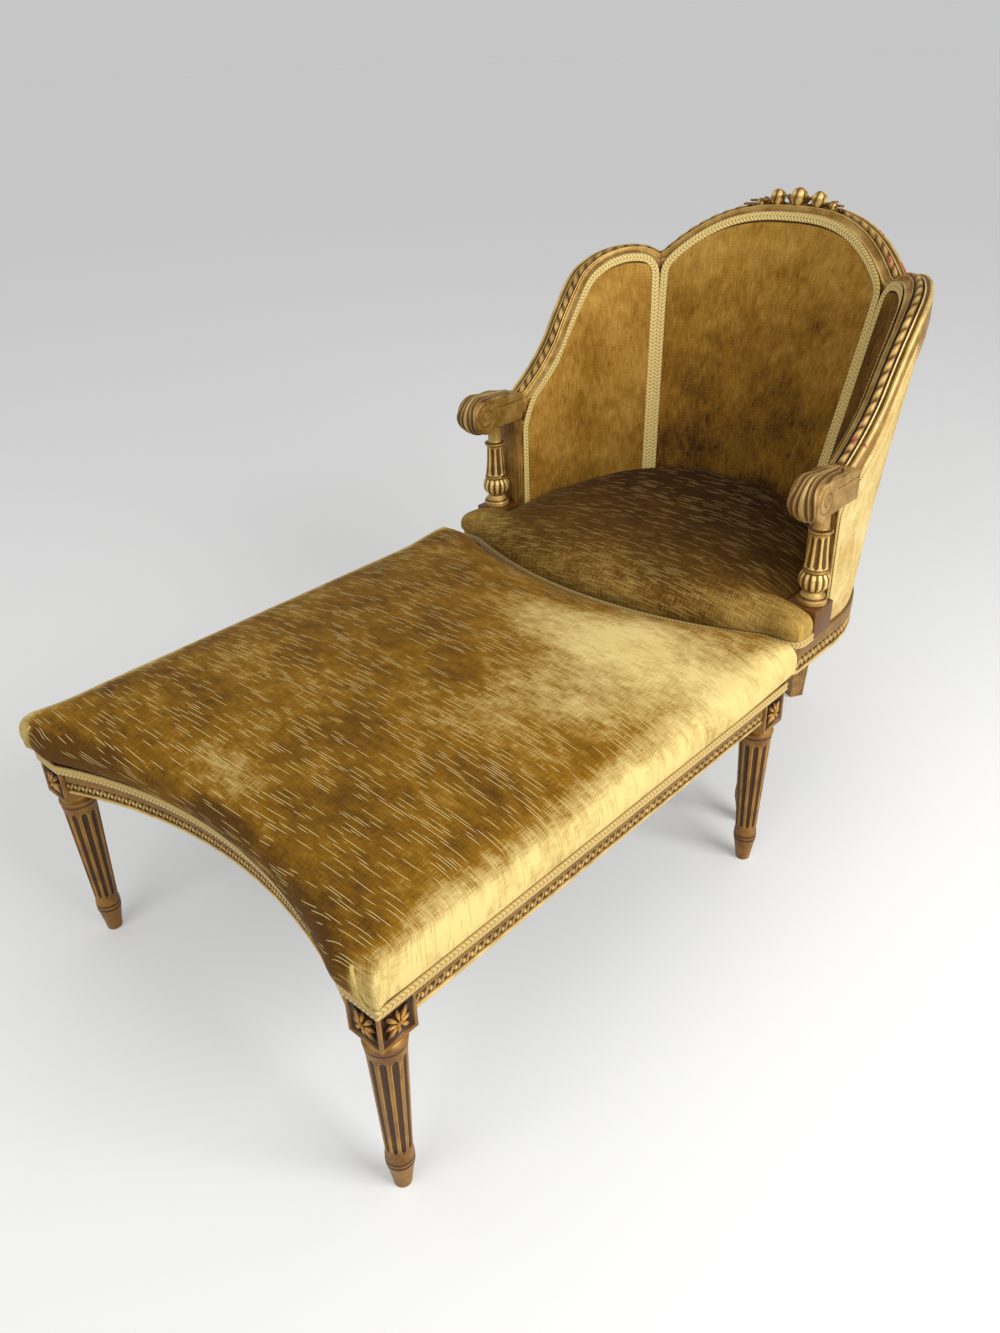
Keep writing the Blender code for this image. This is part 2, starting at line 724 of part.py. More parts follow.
def build_chair_frame():
    block_half = chair_block_side / 2
    leg_x = chair_corner_x - chair_leg_inset
    block_rear = chair_front_face + chair_block_depth
    behind_rail = chair_front_face + rail_recess + rail_thickness + contact_gap
    arm_rear = shell_y - stile_width - contact_gap
    for hand, side in (("left", -1), ("right", 1)):
        xs = sorted((side * (chair_corner_x - block_half), side * chair_side_face))
        inner_xs = sorted((side * (leg_x - leg_bottom_radius), side * chair_corner_x))
        blocks = (
            ((xs[0], chair_front_face, chair_leg_height), (xs[1], block_rear, chair_rail_top)),
            ((inner_xs[0], behind_rail, chair_leg_height),
             (inner_xs[1], chair_leg_y + leg_bottom_radius, chair_rail_top)),
            ((xs[0], arm_block_front, chair_rail_bottom), (xs[1], block_rear, arm_block_top)),
            ((xs[0], arm_block_front, chair_rail_top + contact_gap), (xs[1], arm_rear, arm_block_top)),
        )
        build_leg(f"chair_front_leg_{hand}", side * leg_x, chair_leg_y, chair_leg_height, blocks)
    section = seat_rail_section(chair_rail_height)
    inset = rail_recess + rail_thickness / 2

    def front(x):
        return x, chair_front_face - chair_arc(x) + inset, chair_rail_bottom

    curved_rail("chair_front_rail", front, chair_corner_x - block_half - contact_gap, section)
    first = block_rear + contact_gap - shell_y
    before = wing_run - back_leg_side / 2 - 2 * contact_gap
    runs = runs_between(first, before, 14)
    right = [shell(run, seat_rail_offset, chair_rail_bottom) for run in runs]
    left = [mirrored(point, -1) for point in reversed(right)]
    swept("chair_side_rail_right", right, section, GILT, parts)
    swept("chair_side_rail_left", left, section, GILT, parts)
    behind = wing_run + back_leg_side / 2 + 2 * contact_gap
    runs = runs_between(behind, half_run, 7)
    right = [shell(run, seat_rail_offset, chair_rail_bottom) for run in runs]
    left = [mirrored(point, -1) for point in reversed(right[:-1])]
    swept("chair_back_rail", right + left, section, GILT, parts)
    wall = wing_x + seat_rail_offset - rail_thickness / 2 - contact_gap
    for hand, side in (("left", -1), ("right", 1)):
        brace(f"chair_brace_{hand}", wall, block_rear - block_half, 1,
              lambda x: chair_front_face - chair_arc(x) + rail_depth(chair_arc, x), side,
              chair_rail_top - brace_height - contact_gap, chair_brace_reach)


def runs_between(first, last, steps):
    """Even places along the shell, with one more close to each end to square the end faces."""
    runs = [first + (last - first) * i / steps for i in range(steps + 1)]
    return [first, first + top_rail_level] + runs[1:-1] + [last - top_rail_level, last]


def post_ring(place, inner, outer, half_width, z, shift=(0, 0)):
    """Four corners of a post at the corner of the back: place gives a plan point for a run and offset."""
    ring = []
    for out, run in ((inner, -half_width), (outer, -half_width), (outer, half_width), (inner, half_width)):
        point = place(wing_run + run, out)
        ring.append((point.x + shift[0], point.y + shift[1], z))
    return ring


def beside_rail(run, out):
    """Plan point out metres outside the plan line, square to the seat rail."""
    before, centre, after = (shell(run + step, seat_rail_offset, chair_rail_bottom)
                             for step in (-top_rail_level, 0, top_rail_level))
    normal = Vector((after.y - before.y, before.x - after.x)).normalized()
    return Vector((centre.x, centre.y)) + normal * (out - seat_rail_offset)


def build_back_posts():
    """Square tapered back legs, raked backwards, that run up as the stiles beside the back panel."""
    rings = []
    for height_share, bend_share in zip(back_leg_height_shares, back_leg_bend_shares):
        half = (back_leg_side + (back_foot_side - back_leg_side) * bend_share) / 2
        rings.append(post_ring(beside_rail, seat_rail_offset - half, seat_rail_offset + half, half,
                               chair_leg_height * height_share,
                               (back_foot_splay * bend_share, back_foot_kick * bend_share)))
    half = back_leg_side / 2
    rings.append(post_ring(beside_rail, seat_rail_offset - half, seat_rail_offset + half, half,
                           chair_rail_top))
    stile_top = wing_top(wing_run) - top_rail_height - contact_gap
    stile_rings = []
    for z in (chair_rail_bottom + contact_gap, chair_rail_top, stile_top):
        stile_rings.append(post_ring(lambda run, out: shell(run, out, z), -pad_inner,
                                     pad_outer + contact_gap, back_stile_width / 2, z))
    for hand, side in (("left", -1), ("right", 1)):
        leg = loft(f"chair_back_leg_{hand}", [[mirrored(p, side) for p in ring] for ring in rings],
                   LEG_WOOD, parts)
        stile = loft(leg.name + "_stile", [[mirrored(p, side) for p in ring] for ring in stile_rings],
                     None, tools)
        join_with(leg, stile)


def build_arms():
    scroll_y = post_y - scroll_setback
    scroll_z = arm_top_z + scroll_rise - scroll_radius
    drop = scroll_z - arm_underside_z
    start = -math.asin(drop / scroll_radius)
    steps = 12
    rear = shell_y - contact_gap
    outline = [(rear, arm_underside_z)]
    for i in range(steps + 1):
        turn = start - (scroll_turn + start) * i / steps
        outline.append((scroll_y + scroll_radius * math.cos(turn),
                        scroll_z + scroll_radius * math.sin(turn)))
    outline.append((post_y, arm_top_z + arm_bump))
    outline.append((rear, arm_top_z))
    profile = post_profile()
    for hand, side in (("left", -1), ("right", 1)):
        turned(f"chair_arm_post_{hand}", profile, side * post_x, post_y, GILT, parts)
        arm = poly_curve(f"chair_arm_{hand}", [(y, z, 0) for y, z in outline], True, GILT, parts)
        arm.data.dimensions = "2D"
        arm.data.fill_mode = "BOTH"
        arm.data.extrude = arm_width / 2
        arm.rotation_euler = (math.pi / 2, 0, math.pi / 2)
        arm.location = (side * post_x, 0, 0)
        xs = sorted((side * (wing_x - pad_inner), side * (wing_x + cover_inner - contact_gap)))
        low = (xs[0], shell_y - stile_width, chair_rail_top + contact_gap)
        high = (xs[1], shell_y - contact_gap, arm_underside_z - contact_gap)
        board(f"chair_front_stile_{hand}", low, high, GILT, parts)


def post_profile():
    """Arm post from the arm down: neck, ring, fluted shaft, gadrooned bulb, waist and base disc."""
    low = arm_block_top + contact_gap
    tall = arm_underside_z - contact_gap - low
    radii = (0, post_neck_radius, post_neck_radius, post_ring_radius, post_ring_radius, post_neck_radius,
             post_shaft_radius, post_flare_radius, post_bulb_radius, post_bulb_radius, post_waist_radius,
             post_waist_radius, post_base_radius, post_base_radius, 0)
    return [(radius, low + share * tall) for radius, share in zip(radii, post_height_shares)]


def build_top_rails():
    section = (
        (-top_rail_inner, -top_rail_height), (top_rail_outer, -top_rail_height),
        (top_rail_outer, -top_rail_edge), (top_rail_outer - top_rail_edge, 0),
        (top_rail_slope - top_rail_inner, 0), (-top_rail_inner, -top_rail_slope),
    )
    right = wing_line()
    swept("chair_wing_rail_right", right, section, GILT, parts)
    left = [mirrored(point, -1) for point in reversed(right)]
    swept("chair_wing_rail_left", left, section, GILT, parts)
    swept("chair_crest_rail", crest_line(), section, GILT, parts)


def wing_line():
    """Top line of the right wing, level at both ends."""
    level, last = top_rail_level, wing_run - contact_gap
    points = [shell(run, 0, wing_top(run)) for run in runs_between(level, last - level, 18)]
    return [shell(0, 0, wing_top(level))] + points + [shell(last, 0, wing_top(last - level))]


def crest_line():
    """Top line of the back from right to left, level at both ends."""
    steps = 10
    first = wing_run + contact_gap
    start = first + top_rail_level
    points = [shell(first, 0, crest_top(start))]
    for i in range(steps + 1):
        run = start + (half_run - start) * i / steps
        points.append(shell(run, 0, crest_top(run)))
    return points + [mirrored(point, -1) for point in reversed(points[:-1])]


def trimmed_under(panel, points):
    """Cut a panel's top along the underside of the rail that follows the points."""
    reach = []
    for end, inner in ((points[0], points[1]), (points[-1], points[-2])):
        reach.append(end + (end - inner).normalized() * cut_overrun)
    points = [reach[0]] + points + [reach[1]]
    wide, low = top_rail_height, -top_rail_height - panel_gap
    section = ((-wide, low), (wide, low), (wide, 0), (-wide, 0))
    panel.modifiers.new("facets", "TRIANGULATE")
    join_with(panel, swept(panel.name + "_trim", points, section, None, tools), "DIFFERENCE")


def build_spray():
    """Three roses on a bed of leaves along the middle of the crest."""
    steps = 8
    points = []
    lift = contact_gap * 2
    for i in range(steps + 1):
        x = spray_half_length * (2 * i / steps - 1)
        run = half_run - abs(x)
        place = mirrored(shell(run, 0, crest_top(run)), math.copysign(1, x))
        points.append((place[0], place[1], place[2] + lift))
    half = spray_width / 2
    top = half * spray_top_share
    section = ((half, 0), (top, spray_height), (-top, spray_height), (-half, 0))
    bed = swept("chair_crest_spray", points, section, GILT, parts)
    roses = ((-rose_spacing, side_rose_radius), (0, rose_radius), (rose_spacing, side_rose_radius))
    for number, (x, radius) in enumerate(roses):
        run = half_run - abs(x)
        place = shell(run, 0, crest_top(run))
        bm = bmesh.new()
        bmesh.ops.create_uvsphere(bm, u_segments=10, v_segments=6, radius=1.0)
        tall = rose_height / 2 * radius / rose_radius
        bmesh.ops.scale(bm, vec=(radius, radius * rose_depth_share, tall), verts=bm.verts)
        centre = (math.copysign(place.x, x), place.y, place.z + tall + lift * 2)
        bmesh.ops.translate(bm, vec=centre, verts=bm.verts)
        join_with(bed, add_bmesh(f"rose_{number}", bm, None, tools))


def build_shell_upholstery():
    bottom = chair_rail_top + contact_gap
    stile_half = back_stile_width / 2 + panel_gap

    def panel(run, side, u, v, w, line, inner, outer, crown):
        top = line(run) - top_rail_height / 2 if run > 0 else arm_underside_z - contact_gap
        z = bottom + (top - bottom) * (v + 1) / 2
        swell = crown * (1 - u * u) * (1 - v * v) ** 2
        out = outer if w > 0 else inner - swell
        return mirrored(shell(run, out, z), side)

    for hand, side in (("left", -1), ("right", 1)):
        line = [mirrored(point, side) for point in wing_line()]
        first, last = contact_gap, wing_run - stile_half

        def pad(u, v, w, side=side, first=first, last=last):
            run = first + (last - first) * (u + 1) / 2
            return panel(run, side, u, v, w, wing_top, -pad_inner, pad_outer, pad_crown)

        wing_pad = formed(f"chair_wing_pad_{hand}", (even(12), even(6), []), pad, VELVET, parts)
        trimmed_under(wing_pad, line)
        begin, end = -stile_width, wing_run - contact_gap
        shares = [2 * (0 - begin) / (end - begin) - 1]
        shares += [shares[0] + (1 - shares[0]) * i / 12 for i in range(1, 12)]

        def cover(u, v, w, side=side, begin=begin, end=end):
            run = begin + (end - begin) * (u + 1) / 2
            run = 0 if abs(run) < contact_gap else run
            return panel(run, side, u, v, w, wing_top, cover_inner, cover_inner + cover_thickness, 0)

        wing_cover = formed(f"chair_outside_wing_{hand}", (shares, even(4), []), cover, VELVET, parts)
        trimmed_under(wing_cover, line)

    def across(u, margin):
        reach = half_run - wing_run - margin
        return half_run - abs(u) * reach, math.copysign(1, u)

    def back_pad(u, v, w):
        run, side = across(u, stile_half)
        return panel(run, side, u, v, w, crest_top, -pad_inner, pad_outer, pad_crown)

    def back_cover(u, v, w):
        run, side = across(u, 2 * panel_gap)
        return panel(run, side, u, v, w, crest_top, cover_inner, cover_inner + cover_thickness, 0)

    back = formed("chair_back_pad", (even(14), even(8), []), back_pad, VELVET, parts)
    trimmed_under(back, crest_line())
    back_outside = formed("chair_outside_back", (even(14), even(4), []), back_cover, VELVET, parts)
    trimmed_under(back_outside, crest_line())


def build_chair_seat():
    inset = pad_inner + seat_clearance
    deck_bottom = chair_rail_top + contact_gap
    deck_top = deck_bottom + cloth_thickness
    base = deck_top + contact_gap
    rows = side_rows(base, chair_overhang, chair_edge_rise)
    ear_rows = [ear_cut_share - share * (1 + ear_cut_share) for share in ear_row_shares]
    seat_rows = [ear_cut_share + (1 - ear_cut_share) * share for share in seat_row_shares]
    along = ear_rows + [ear_cut_share] + seat_rows
    across = [-edge_cut_shares[1], ear_width_share - 1] + even(10)[1:-1]
    across += [1 - ear_width_share, edge_cut_shares[1]]

    def deck(u, v, w):
        x, y = chair_plan(u, v, -tacked_inset, inset)
        return Vector((x, y, deck_bottom if w < 0 else deck_top))

    formed("chair_hessian", (across, along, []), deck, HESSIAN, parts)

    def cushion(u, v, w):
        out, z = at_row(rows, w)
        x, y = chair_plan(u, v, out, inset)
        depth = max(0, (y - shell_y) / seat_line_depth)
        z = base + (z - base) * (1 + chair_rear_rise_share * depth * depth)
        y += chair_rear_lean * (z - base) * depth
        if w > top_row_share:
            z += chair_crown * crown_share(u, v)
        return Vector((x, y, z))

    formed("chair_seat_cushion", (across, along, even(len(rows) - 1)), cushion, DARK_VELVET, parts)
    back_of_ear = arm_block_front - seat_clearance
    face, kink = chair_side_face + contact_gap, chair_corner_x - chair_block_side / 2
    path = [(x, chair_front_face - contact_gap - chair_arc(x)) for x in bow_places(face, kink)]
    path = [(-face, back_of_ear)] + path + [(face, back_of_ear)]
    band("chair_gimp", path, False, deck_bottom, gimp_height)
    gap_top = chair_rail_bottom - contact_gap
    springs_x = chair_corner_x * chair_spring_x_share
    springs_y = (shell_y, shell_y + wing_straight)
    front = chair_front_face - chair_arc(springs_x) + rail_recess + rail_thickness / 2
    rear = shell_y + seat_line_depth

    def half_width(y):
        depth = max(0, y - shell_y) / (seat_line_depth + seat_rail_offset)
        return (wing_x + seat_rail_offset) * math.sqrt(1 - depth * depth)

    webbing("chair_webbing", half_width, front, rear, (-springs_x, 0, springs_x), springs_y, gap_top)
    number = 0
    for x in (-springs_x, springs_x):
        for y in springs_y:
            number += 1
            spring(f"chair_spring_{number}", x, y, gap_top, deck_bottom)
    cloth_top = gap_top - webbing_thickness - contact_gap

    def under_cloth(u, v, w):
        x, y = chair_plan(u, v, -rail_recess - rail_thickness / 2, 0)
        limit = chair_corner_x - chair_block_side / 2 - contact_gap
        x = math.copysign(min(abs(x), limit), x)
        return Vector((x, y, cloth_top if w > 0 else cloth_top - cloth_thickness))

    cloth = formed("chair_bottom_cloth", (even(8), along, []), under_cloth, BLACK_CLOTH, parts)
    corner = shell(wing_run, seat_rail_offset, chair_rail_bottom)
    reach = Vector((back_leg_side, back_leg_side, back_leg_side))
    leg_reach = Vector((chair_block_side, chair_block_side, chair_block_side)) / 2
    leg_reach += Vector((contact_gap, contact_gap, contact_gap))
    for hand, side in (("left", -1), ("right", 1)):
        middle = mirrored(corner, side)
        notch = board(f"cloth_notch_{hand}", middle - reach, middle + reach, None, tools)
        join_with(cloth, notch, "DIFFERENCE")
        leg = Vector((side * (chair_corner_x - chair_leg_inset), chair_leg_y, chair_leg_height))
        notch = board(f"leg_notch_{hand}", leg - leg_reach, leg + leg_reach, None, tools)
        join_with(cloth, notch, "DIFFERENCE")


clear_scene()
tools = new_collection("armchair_and_footstool_tools")
parts = new_collection("armchair_and_footstool")
build_stool_frame()
build_stool_braces()
build_stool_seat()
build_chair_frame()
build_back_posts()
build_arms()
build_top_rails()
build_spray()
build_shell_upholstery()
build_chair_seat()
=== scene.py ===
"""Giltwood armchair and its long hollow-ended footstool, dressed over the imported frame."""

import logging
import math
from dataclasses import dataclass, field
from enum import Enum
from typing import Any, Callable, Iterable, NamedTuple, Sequence

import bmesh
import bpy
from mathutils import Matrix, Vector
from mathutils.bvhtree import BVHTree


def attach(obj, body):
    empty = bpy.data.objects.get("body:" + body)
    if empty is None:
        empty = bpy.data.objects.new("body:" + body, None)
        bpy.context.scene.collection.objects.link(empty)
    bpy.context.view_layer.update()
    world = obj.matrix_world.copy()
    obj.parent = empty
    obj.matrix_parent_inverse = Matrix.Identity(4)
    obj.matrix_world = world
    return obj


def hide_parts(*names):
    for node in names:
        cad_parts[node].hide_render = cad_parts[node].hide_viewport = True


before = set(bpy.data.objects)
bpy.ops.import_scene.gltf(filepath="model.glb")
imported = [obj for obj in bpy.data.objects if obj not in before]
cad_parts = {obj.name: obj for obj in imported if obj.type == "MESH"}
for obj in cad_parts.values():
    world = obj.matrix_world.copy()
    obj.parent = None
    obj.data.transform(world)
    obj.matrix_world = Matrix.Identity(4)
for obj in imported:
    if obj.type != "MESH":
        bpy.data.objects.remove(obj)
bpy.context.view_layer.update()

log = logging.getLogger("armchair")
MM = 0.001
TURN = math.tau
BMesh = bmesh.types.BMesh
Material = bpy.types.Material
Piece = bpy.types.Object


class Body(Enum):
    """The two bodies that pieces ride on."""

    CHAIR = "chair"
    FOOTSTOOL = "footstool"


class Slot(Enum):
    """The record's material slots."""

    GILT = "gilt_wood"
    LEG = "leg_wood"
    VELVET = "velvet"
    SEAT = "seat_velvet"
    BRAID = "braid"


class Hand(Enum):
    """The sitter's left or right, as a sign along X."""

    LEFT = -1
    RIGHT = 1

    @property
    def word(self) -> str:
        """The side's name in lower case."""
        return self.name.lower()


class Spot(NamedTuple):
    """A point of a surface, how far it stands out (0 recess, 1 crest) and its tone or wear; on the velvet the tone
    also holds painted light and shade.
    """

    point: Vector
    relief: float = 0.6
    tone: float = 0.0


Place = Callable[[float, float], Spot]


# ---- shaping -------------------------------------------------------------------------------


def clamp(value: float, low: float = 0.0, high: float = 1.0) -> float:
    """The value kept between low and high."""
    return max(low, min(high, value))


def ease(low: float, high: float, value: float) -> float:
    """A smooth step from 0 at low to 1 at high."""
    t = clamp((value - low) / (high - low))
    return t * t * (3 - 2 * t)


def hump(value: float, width: float) -> float:
    """A soft bump that is 1 at zero and dies away over the width."""
    return math.exp(-(value / width) ** 2)


def smooth_line(points: Sequence[tuple[float, float]], along: float) -> float:
    """Height on a smooth curve through points.

    Args:
        points: (along, height) pairs in rising order.
        along: where to read the curve.

    Returns:
        The height there.
    """
    last = len(points) - 1
    i = max(1, min(last, sum(point[0] < along for point in points)))
    (x1, y1), (x2, y2) = points[i - 1], points[i]
    x0, y0 = points[i - 2] if i > 1 else (2 * x1 - x2, 2 * y1 - y2)
    x3, y3 = points[i + 1] if i < last else (2 * x2 - x1, 2 * y2 - y1)
    t = (along - x1) / (x2 - x1)
    m1 = (y2 - y0) / (x2 - x0) * (x2 - x1)
    m2 = (y3 - y1) / (x3 - x1) * (x2 - x1)
    return ((2 * t**3 - 3 * t**2 + 1) * y1 + (t**3 - 2 * t**2 + t) * m1
            + (3 * t**2 - 2 * t**3) * y2 + (t**3 - t**2) * m2)


def straight_line(points: Sequence[tuple[float, float]], along: float) -> float:
    """Height on a broken line through points.

    Args:
        points: (along, height) pairs in rising order.
        along: where to read the line.

    Returns:
        The height there.
    """
    last = len(points) - 1
    i = max(1, min(last, sum(point[0] < along for point in points)))
    (x1, y1), (x2, y2) = points[i - 1], points[i]
    return y1 + (y2 - y1) * clamp((along - x1) / (x2 - x1))


def face_out(bm: BMesh) -> BMesh:
    """Turn every face of a closed mesh outwards.

    Args:
        bm: the mesh.

    Returns:
        The same mesh.
    """
    bmesh.ops.recalc_face_normals(bm, faces=bm.faces)
    if bm.calc_volume(signed=True) < 0:
        bmesh.ops.reverse_faces(bm, faces=bm.faces)
    return bm


def mirrored(bm: BMesh, hand: Hand) -> BMesh:
    """A right-hand mesh made left where the hand asks for it.

    Args:
        bm: a mesh built on the right.
        hand: the side wanted.

    Returns:
        The same mesh.
    """
    if hand is Hand.LEFT:
        bmesh.ops.scale(bm, vec=(-1, 1, 1), verts=bm.verts)
        bmesh.ops.reverse_faces(bm, faces=bm.faces)
    return bm


def sheet(columns: int, rows: int, place: Place, size: tuple[float, float] = (1.0, 1.0)) -> BMesh:
    """A grid whose corners a function puts in place; edges that meet are welded.

    Args:
        columns: faces along the first share.
        rows: faces along the second share.
        place: gives the spot for two shares from 0 to 1.
        size: metres that the shares stand for in the cloth's own UV map.

    Returns:
        The mesh, with relief and tone kept on its corners.
    """
    bm = bmesh.new()
    cloth = bm.loops.layers.uv.new("cloth")
    relief = bm.verts.layers.float.new("relief")
    tone = bm.verts.layers.float.new("tone")
    bmesh.ops.create_grid(bm, x_segments=columns, y_segments=rows, size=1.0)
    for face in bm.faces:
        for loop in face.loops:
            share = loop.vert.co
            loop[cloth].uv = ((share.x + 1) / 2 * size[0], (share.y + 1) / 2 * size[1])
    for vert in bm.verts:
        spot = place((vert.co.x + 1) / 2, (vert.co.y + 1) / 2)
        vert.co, vert[relief], vert[tone] = spot
    bmesh.ops.remove_doubles(bm, verts=bm.verts, dist=0.002 * MM)
    return bm


def closed(bm: BMesh) -> BMesh:
    """Close the open ends of a mesh and turn it outwards.

    Args:
        bm: a mesh whose ends are open rings.

    Returns:
        The same mesh.
    """
    rims = [edge for edge in bm.edges if edge.is_boundary]
    if rims:
        bmesh.ops.holes_fill(bm, edges=rims, sides=0)
    return face_out(bm)


def block(cuts: tuple[int, int, int], place: Callable[[Vector], Spot],
          lay: Callable[[Vector, int], tuple[float, float]]) -> BMesh:
    """A box cut into small faces, each corner then put in place.

    Args:
        cuts: how many cuts along each axis.
        place: gives the spot for a corner whose three shares run from -1 to 1.
        lay: gives the cloth's UV in metres for a corner and the axis its face looks along.

    Returns:
        The closed mesh.
    """
    bm = bmesh.new()
    cloth = bm.loops.layers.uv.new("cloth")
    relief = bm.verts.layers.float.new("relief")
    tone = bm.verts.layers.float.new("tone")
    bmesh.ops.create_cube(bm, size=2.0)
    for axis, count in enumerate(cuts):
        if count:
            along = [edge for edge in bm.edges
                     if abs(edge.verts[0].co[axis] - edge.verts[1].co[axis]) > MM]
            bmesh.ops.subdivide_edges(bm, edges=along, cuts=count)
    bm.normal_update()
    for face in bm.faces:
        axis = max(range(3), key=lambda i, normal=face.normal: abs(normal[i]))
        for loop in face.loops:
            loop[cloth].uv = lay(loop.vert.co, axis)
    for vert in bm.verts:
        vert.co, vert[relief], vert[tone] = place(vert.co.copy())
    return face_out(bm)


def joined(parts: Iterable[BMesh]) -> BMesh:
    """Several meshes as one, their layers kept.

    Args:
        parts: meshes, freed as they are taken in.

    Returns:
        One mesh.
    """
    whole = bmesh.new()
    for part in parts:
        mesh = bpy.data.meshes.new("part")
        part.to_mesh(mesh)
        part.free()
        whole.from_mesh(mesh)
        bpy.data.meshes.remove(mesh)
    return whole


def turned(heights: Sequence[float], radius: Callable[[float, float], tuple[float, float]],
           around: int, x: float, y: float) -> BMesh:
    """A turned and carved upright: rings of a grid, closed at top and foot.

    Args:
        heights: heights of the rings from the foot up.
        radius: gives (radius, relief) for a height and an angle.
        around: faces round the piece.
        x: place of its axis.
        y: place of its axis.

    Returns:
        The closed mesh.
    """
    last = len(heights) - 1

    def place(u: float, v: float) -> Spot:
        z = heights[round(v * last)]
        angle = TURN * u
        r, relief = radius(z, angle)
        return Spot(Vector((x + r * math.cos(angle), y + r * math.sin(angle), z)), relief)

    return closed(sheet(around, last, place))


@dataclass(frozen=True)
class Station:
    """A place on a path, with the two directions that a section is drawn in."""

    point: Vector
    right: Vector
    up: Vector
    along: float


def stations(points: Sequence[Vector], level_ends: bool = False) -> list[Station]:
    """Frames along a path, with up kept as near to vertical as the path allows.

    Args:
        points: the path.
        level_ends: whether both ends stand square to the ground plan.

    Returns:
        One station for each point.
    """
    found, along = [], 0.0
    for i, point in enumerate(points):
        ahead = points[min(i + 1, len(points) - 1)]
        behind = points[max(i - 1, 0)]
        travel = (ahead - behind).normalized()
        if level_ends and i in (0, len(points) - 1):
            travel = Vector((travel.x, travel.y, 0)).normalized()
        right = travel.cross(Vector((0, 0, 1))).normalized()
        along += (point - points[max(i - 1, 0)]).length
        found.append(Station(point, right, right.cross(travel).normalized(), along))
    return found


Section = Callable[[float, float], tuple[float, float, float, float]]


def moulded(path: Sequence[Station], around: int, section: Section) -> BMesh:
    """A moulding along a path.

    Args:
        path: its stations.
        around: points round its section.
        section: gives (right, up, relief, tone) for a share round the section and metres along.

    Returns:
        The closed mesh.
    """
    last = len(path) - 1

    def place(u: float, v: float) -> Spot:
        station = path[round(u * last)]
        right, up, relief, tone = section(v % 1.0, station.along)
        return Spot(station.point + station.right * right + station.up * up, relief, tone)

    return closed(sheet(last, around, place, (path[-1].along, 0.1)))


def along_outline(outline: Sequence[tuple[float, float]], share: float) -> tuple[float, float, float, float]:
    """A place on a closed outline, by share of its length.

    Args:
        outline: its corners.
        share: from 0 to 1 round it.

    Returns:
        Both coordinates there and the outward normal's two coordinates, for a clockwise outline.
    """
    ring = list(outline) + [outline[0]]
    lengths = [math.dist(a, b) for a, b in zip(ring, ring[1:])]
    target = share * sum(lengths)
    for (a, b), length in zip(zip(ring, ring[1:]), lengths):
        if target <= length or (a, b) == (ring[-2], ring[-1]):
            t = clamp(target / length) if length else 0.0
            dx, dy = (b[0] - a[0]) / length, (b[1] - a[1]) / length
            return a[0] + (b[0] - a[0]) * t, a[1] + (b[1] - a[1]) * t, -dy, dx
        target -= length
    return (*outline[0], 0.0, 1.0)


# ---- finishes ------------------------------------------------------------------------------


def linear(code: str) -> tuple[float, float, float, float]:
    """An sRGB hex colour as linear light.

    Args:
        code: six hex digits.

    Returns:
        Red, green, blue and a full alpha.
    """
    parts = [int(code[i:i + 2], 16) / 255 for i in (0, 2, 4)]
    red, green, blue = (c / 12.92 if c <= 0.04045 else ((c + 0.055) / 1.055) ** 2.4 for c in parts)
    return red, green, blue, 1.0


def add(tree: bpy.types.NodeTree, kind: str, settings: dict[Any, Any],
        links: dict[Any, bpy.types.NodeSocket] | None = None) -> bpy.types.Node:
    """Add a node with its settings and links.

    Args:
        tree: the material's or world's nodes.
        kind: the node's type.
        settings: its properties by lower-case name, its sockets' values by socket name or number,
            and "stops" for the (place, hex colour) pairs of a ramp.
        links: what feeds its sockets, by socket name or number.

    Returns:
        The node.
    """
    node = tree.nodes.new(kind)
    for key, value in settings.items():
        if key == "stops":
            elements = node.color_ramp.elements
            while len(elements) < len(value):
                elements.new(0.5)
            for element, (place, code) in zip(elements, value):
                element.position, element.color = place, linear(code)
        elif isinstance(key, int) or key[0].isupper():
            node.inputs[key].default_value = value
        else:
            setattr(node, key, value)
    for key, source in (links or {}).items():
        tree.links.new(source, node.inputs[key])
    return node


def maths(tree: bpy.types.NodeTree, operation: str,
          *terms: float | bpy.types.NodeSocket) -> bpy.types.NodeSocket:
    """One sum in a material.

    Args:
        tree: the material's nodes.
        operation: the sum's name.
        terms: numbers or sockets, in order.

    Returns:
        The socket with the result.
    """
    given = {i: term for i, term in enumerate(terms) if isinstance(term, (int, float))}
    fed = {i: term for i, term in enumerate(terms) if i not in given}
    return add(tree, "ShaderNodeMath", {"operation": operation, **given}, fed).outputs[0]


def blots(tree: bpy.types.NodeTree, place: bpy.types.NodeSocket, size_mm: tuple[float, float, float],
          detail: float = 3.0) -> bpy.types.NodeSocket:
    """Noise whose blots have a real size along each axis.

    Args:
        tree: the material's nodes.
        place: the coordinates.
        size_mm: size of a blot along each axis, in millimetres.
        detail: how much finer noise it carries.

    Returns:
        The socket with the noise.
    """
    scale = tuple(1 / (size * MM) for size in size_mm)
    scaled = add(tree, "ShaderNodeMapping", {"Scale": scale}, {"Vector": place}).outputs["Vector"]
    return add(tree, "ShaderNodeTexNoise", {"Scale": 1.0, "Detail": detail, "Roughness": 0.55},
               {"Vector": scaled}).outputs["Fac"]


def new_material(name: str) -> tuple[Material, bpy.types.NodeTree, bpy.types.Node]:
    """A material with its shader.

    Args:
        name: the real material's name.

    Returns:
        The material, its nodes and the Principled shader.
    """
    material = bpy.data.materials.new(name)
    material.use_nodes = True
    return material, material.node_tree, material.node_tree.nodes["Principled BSDF"]


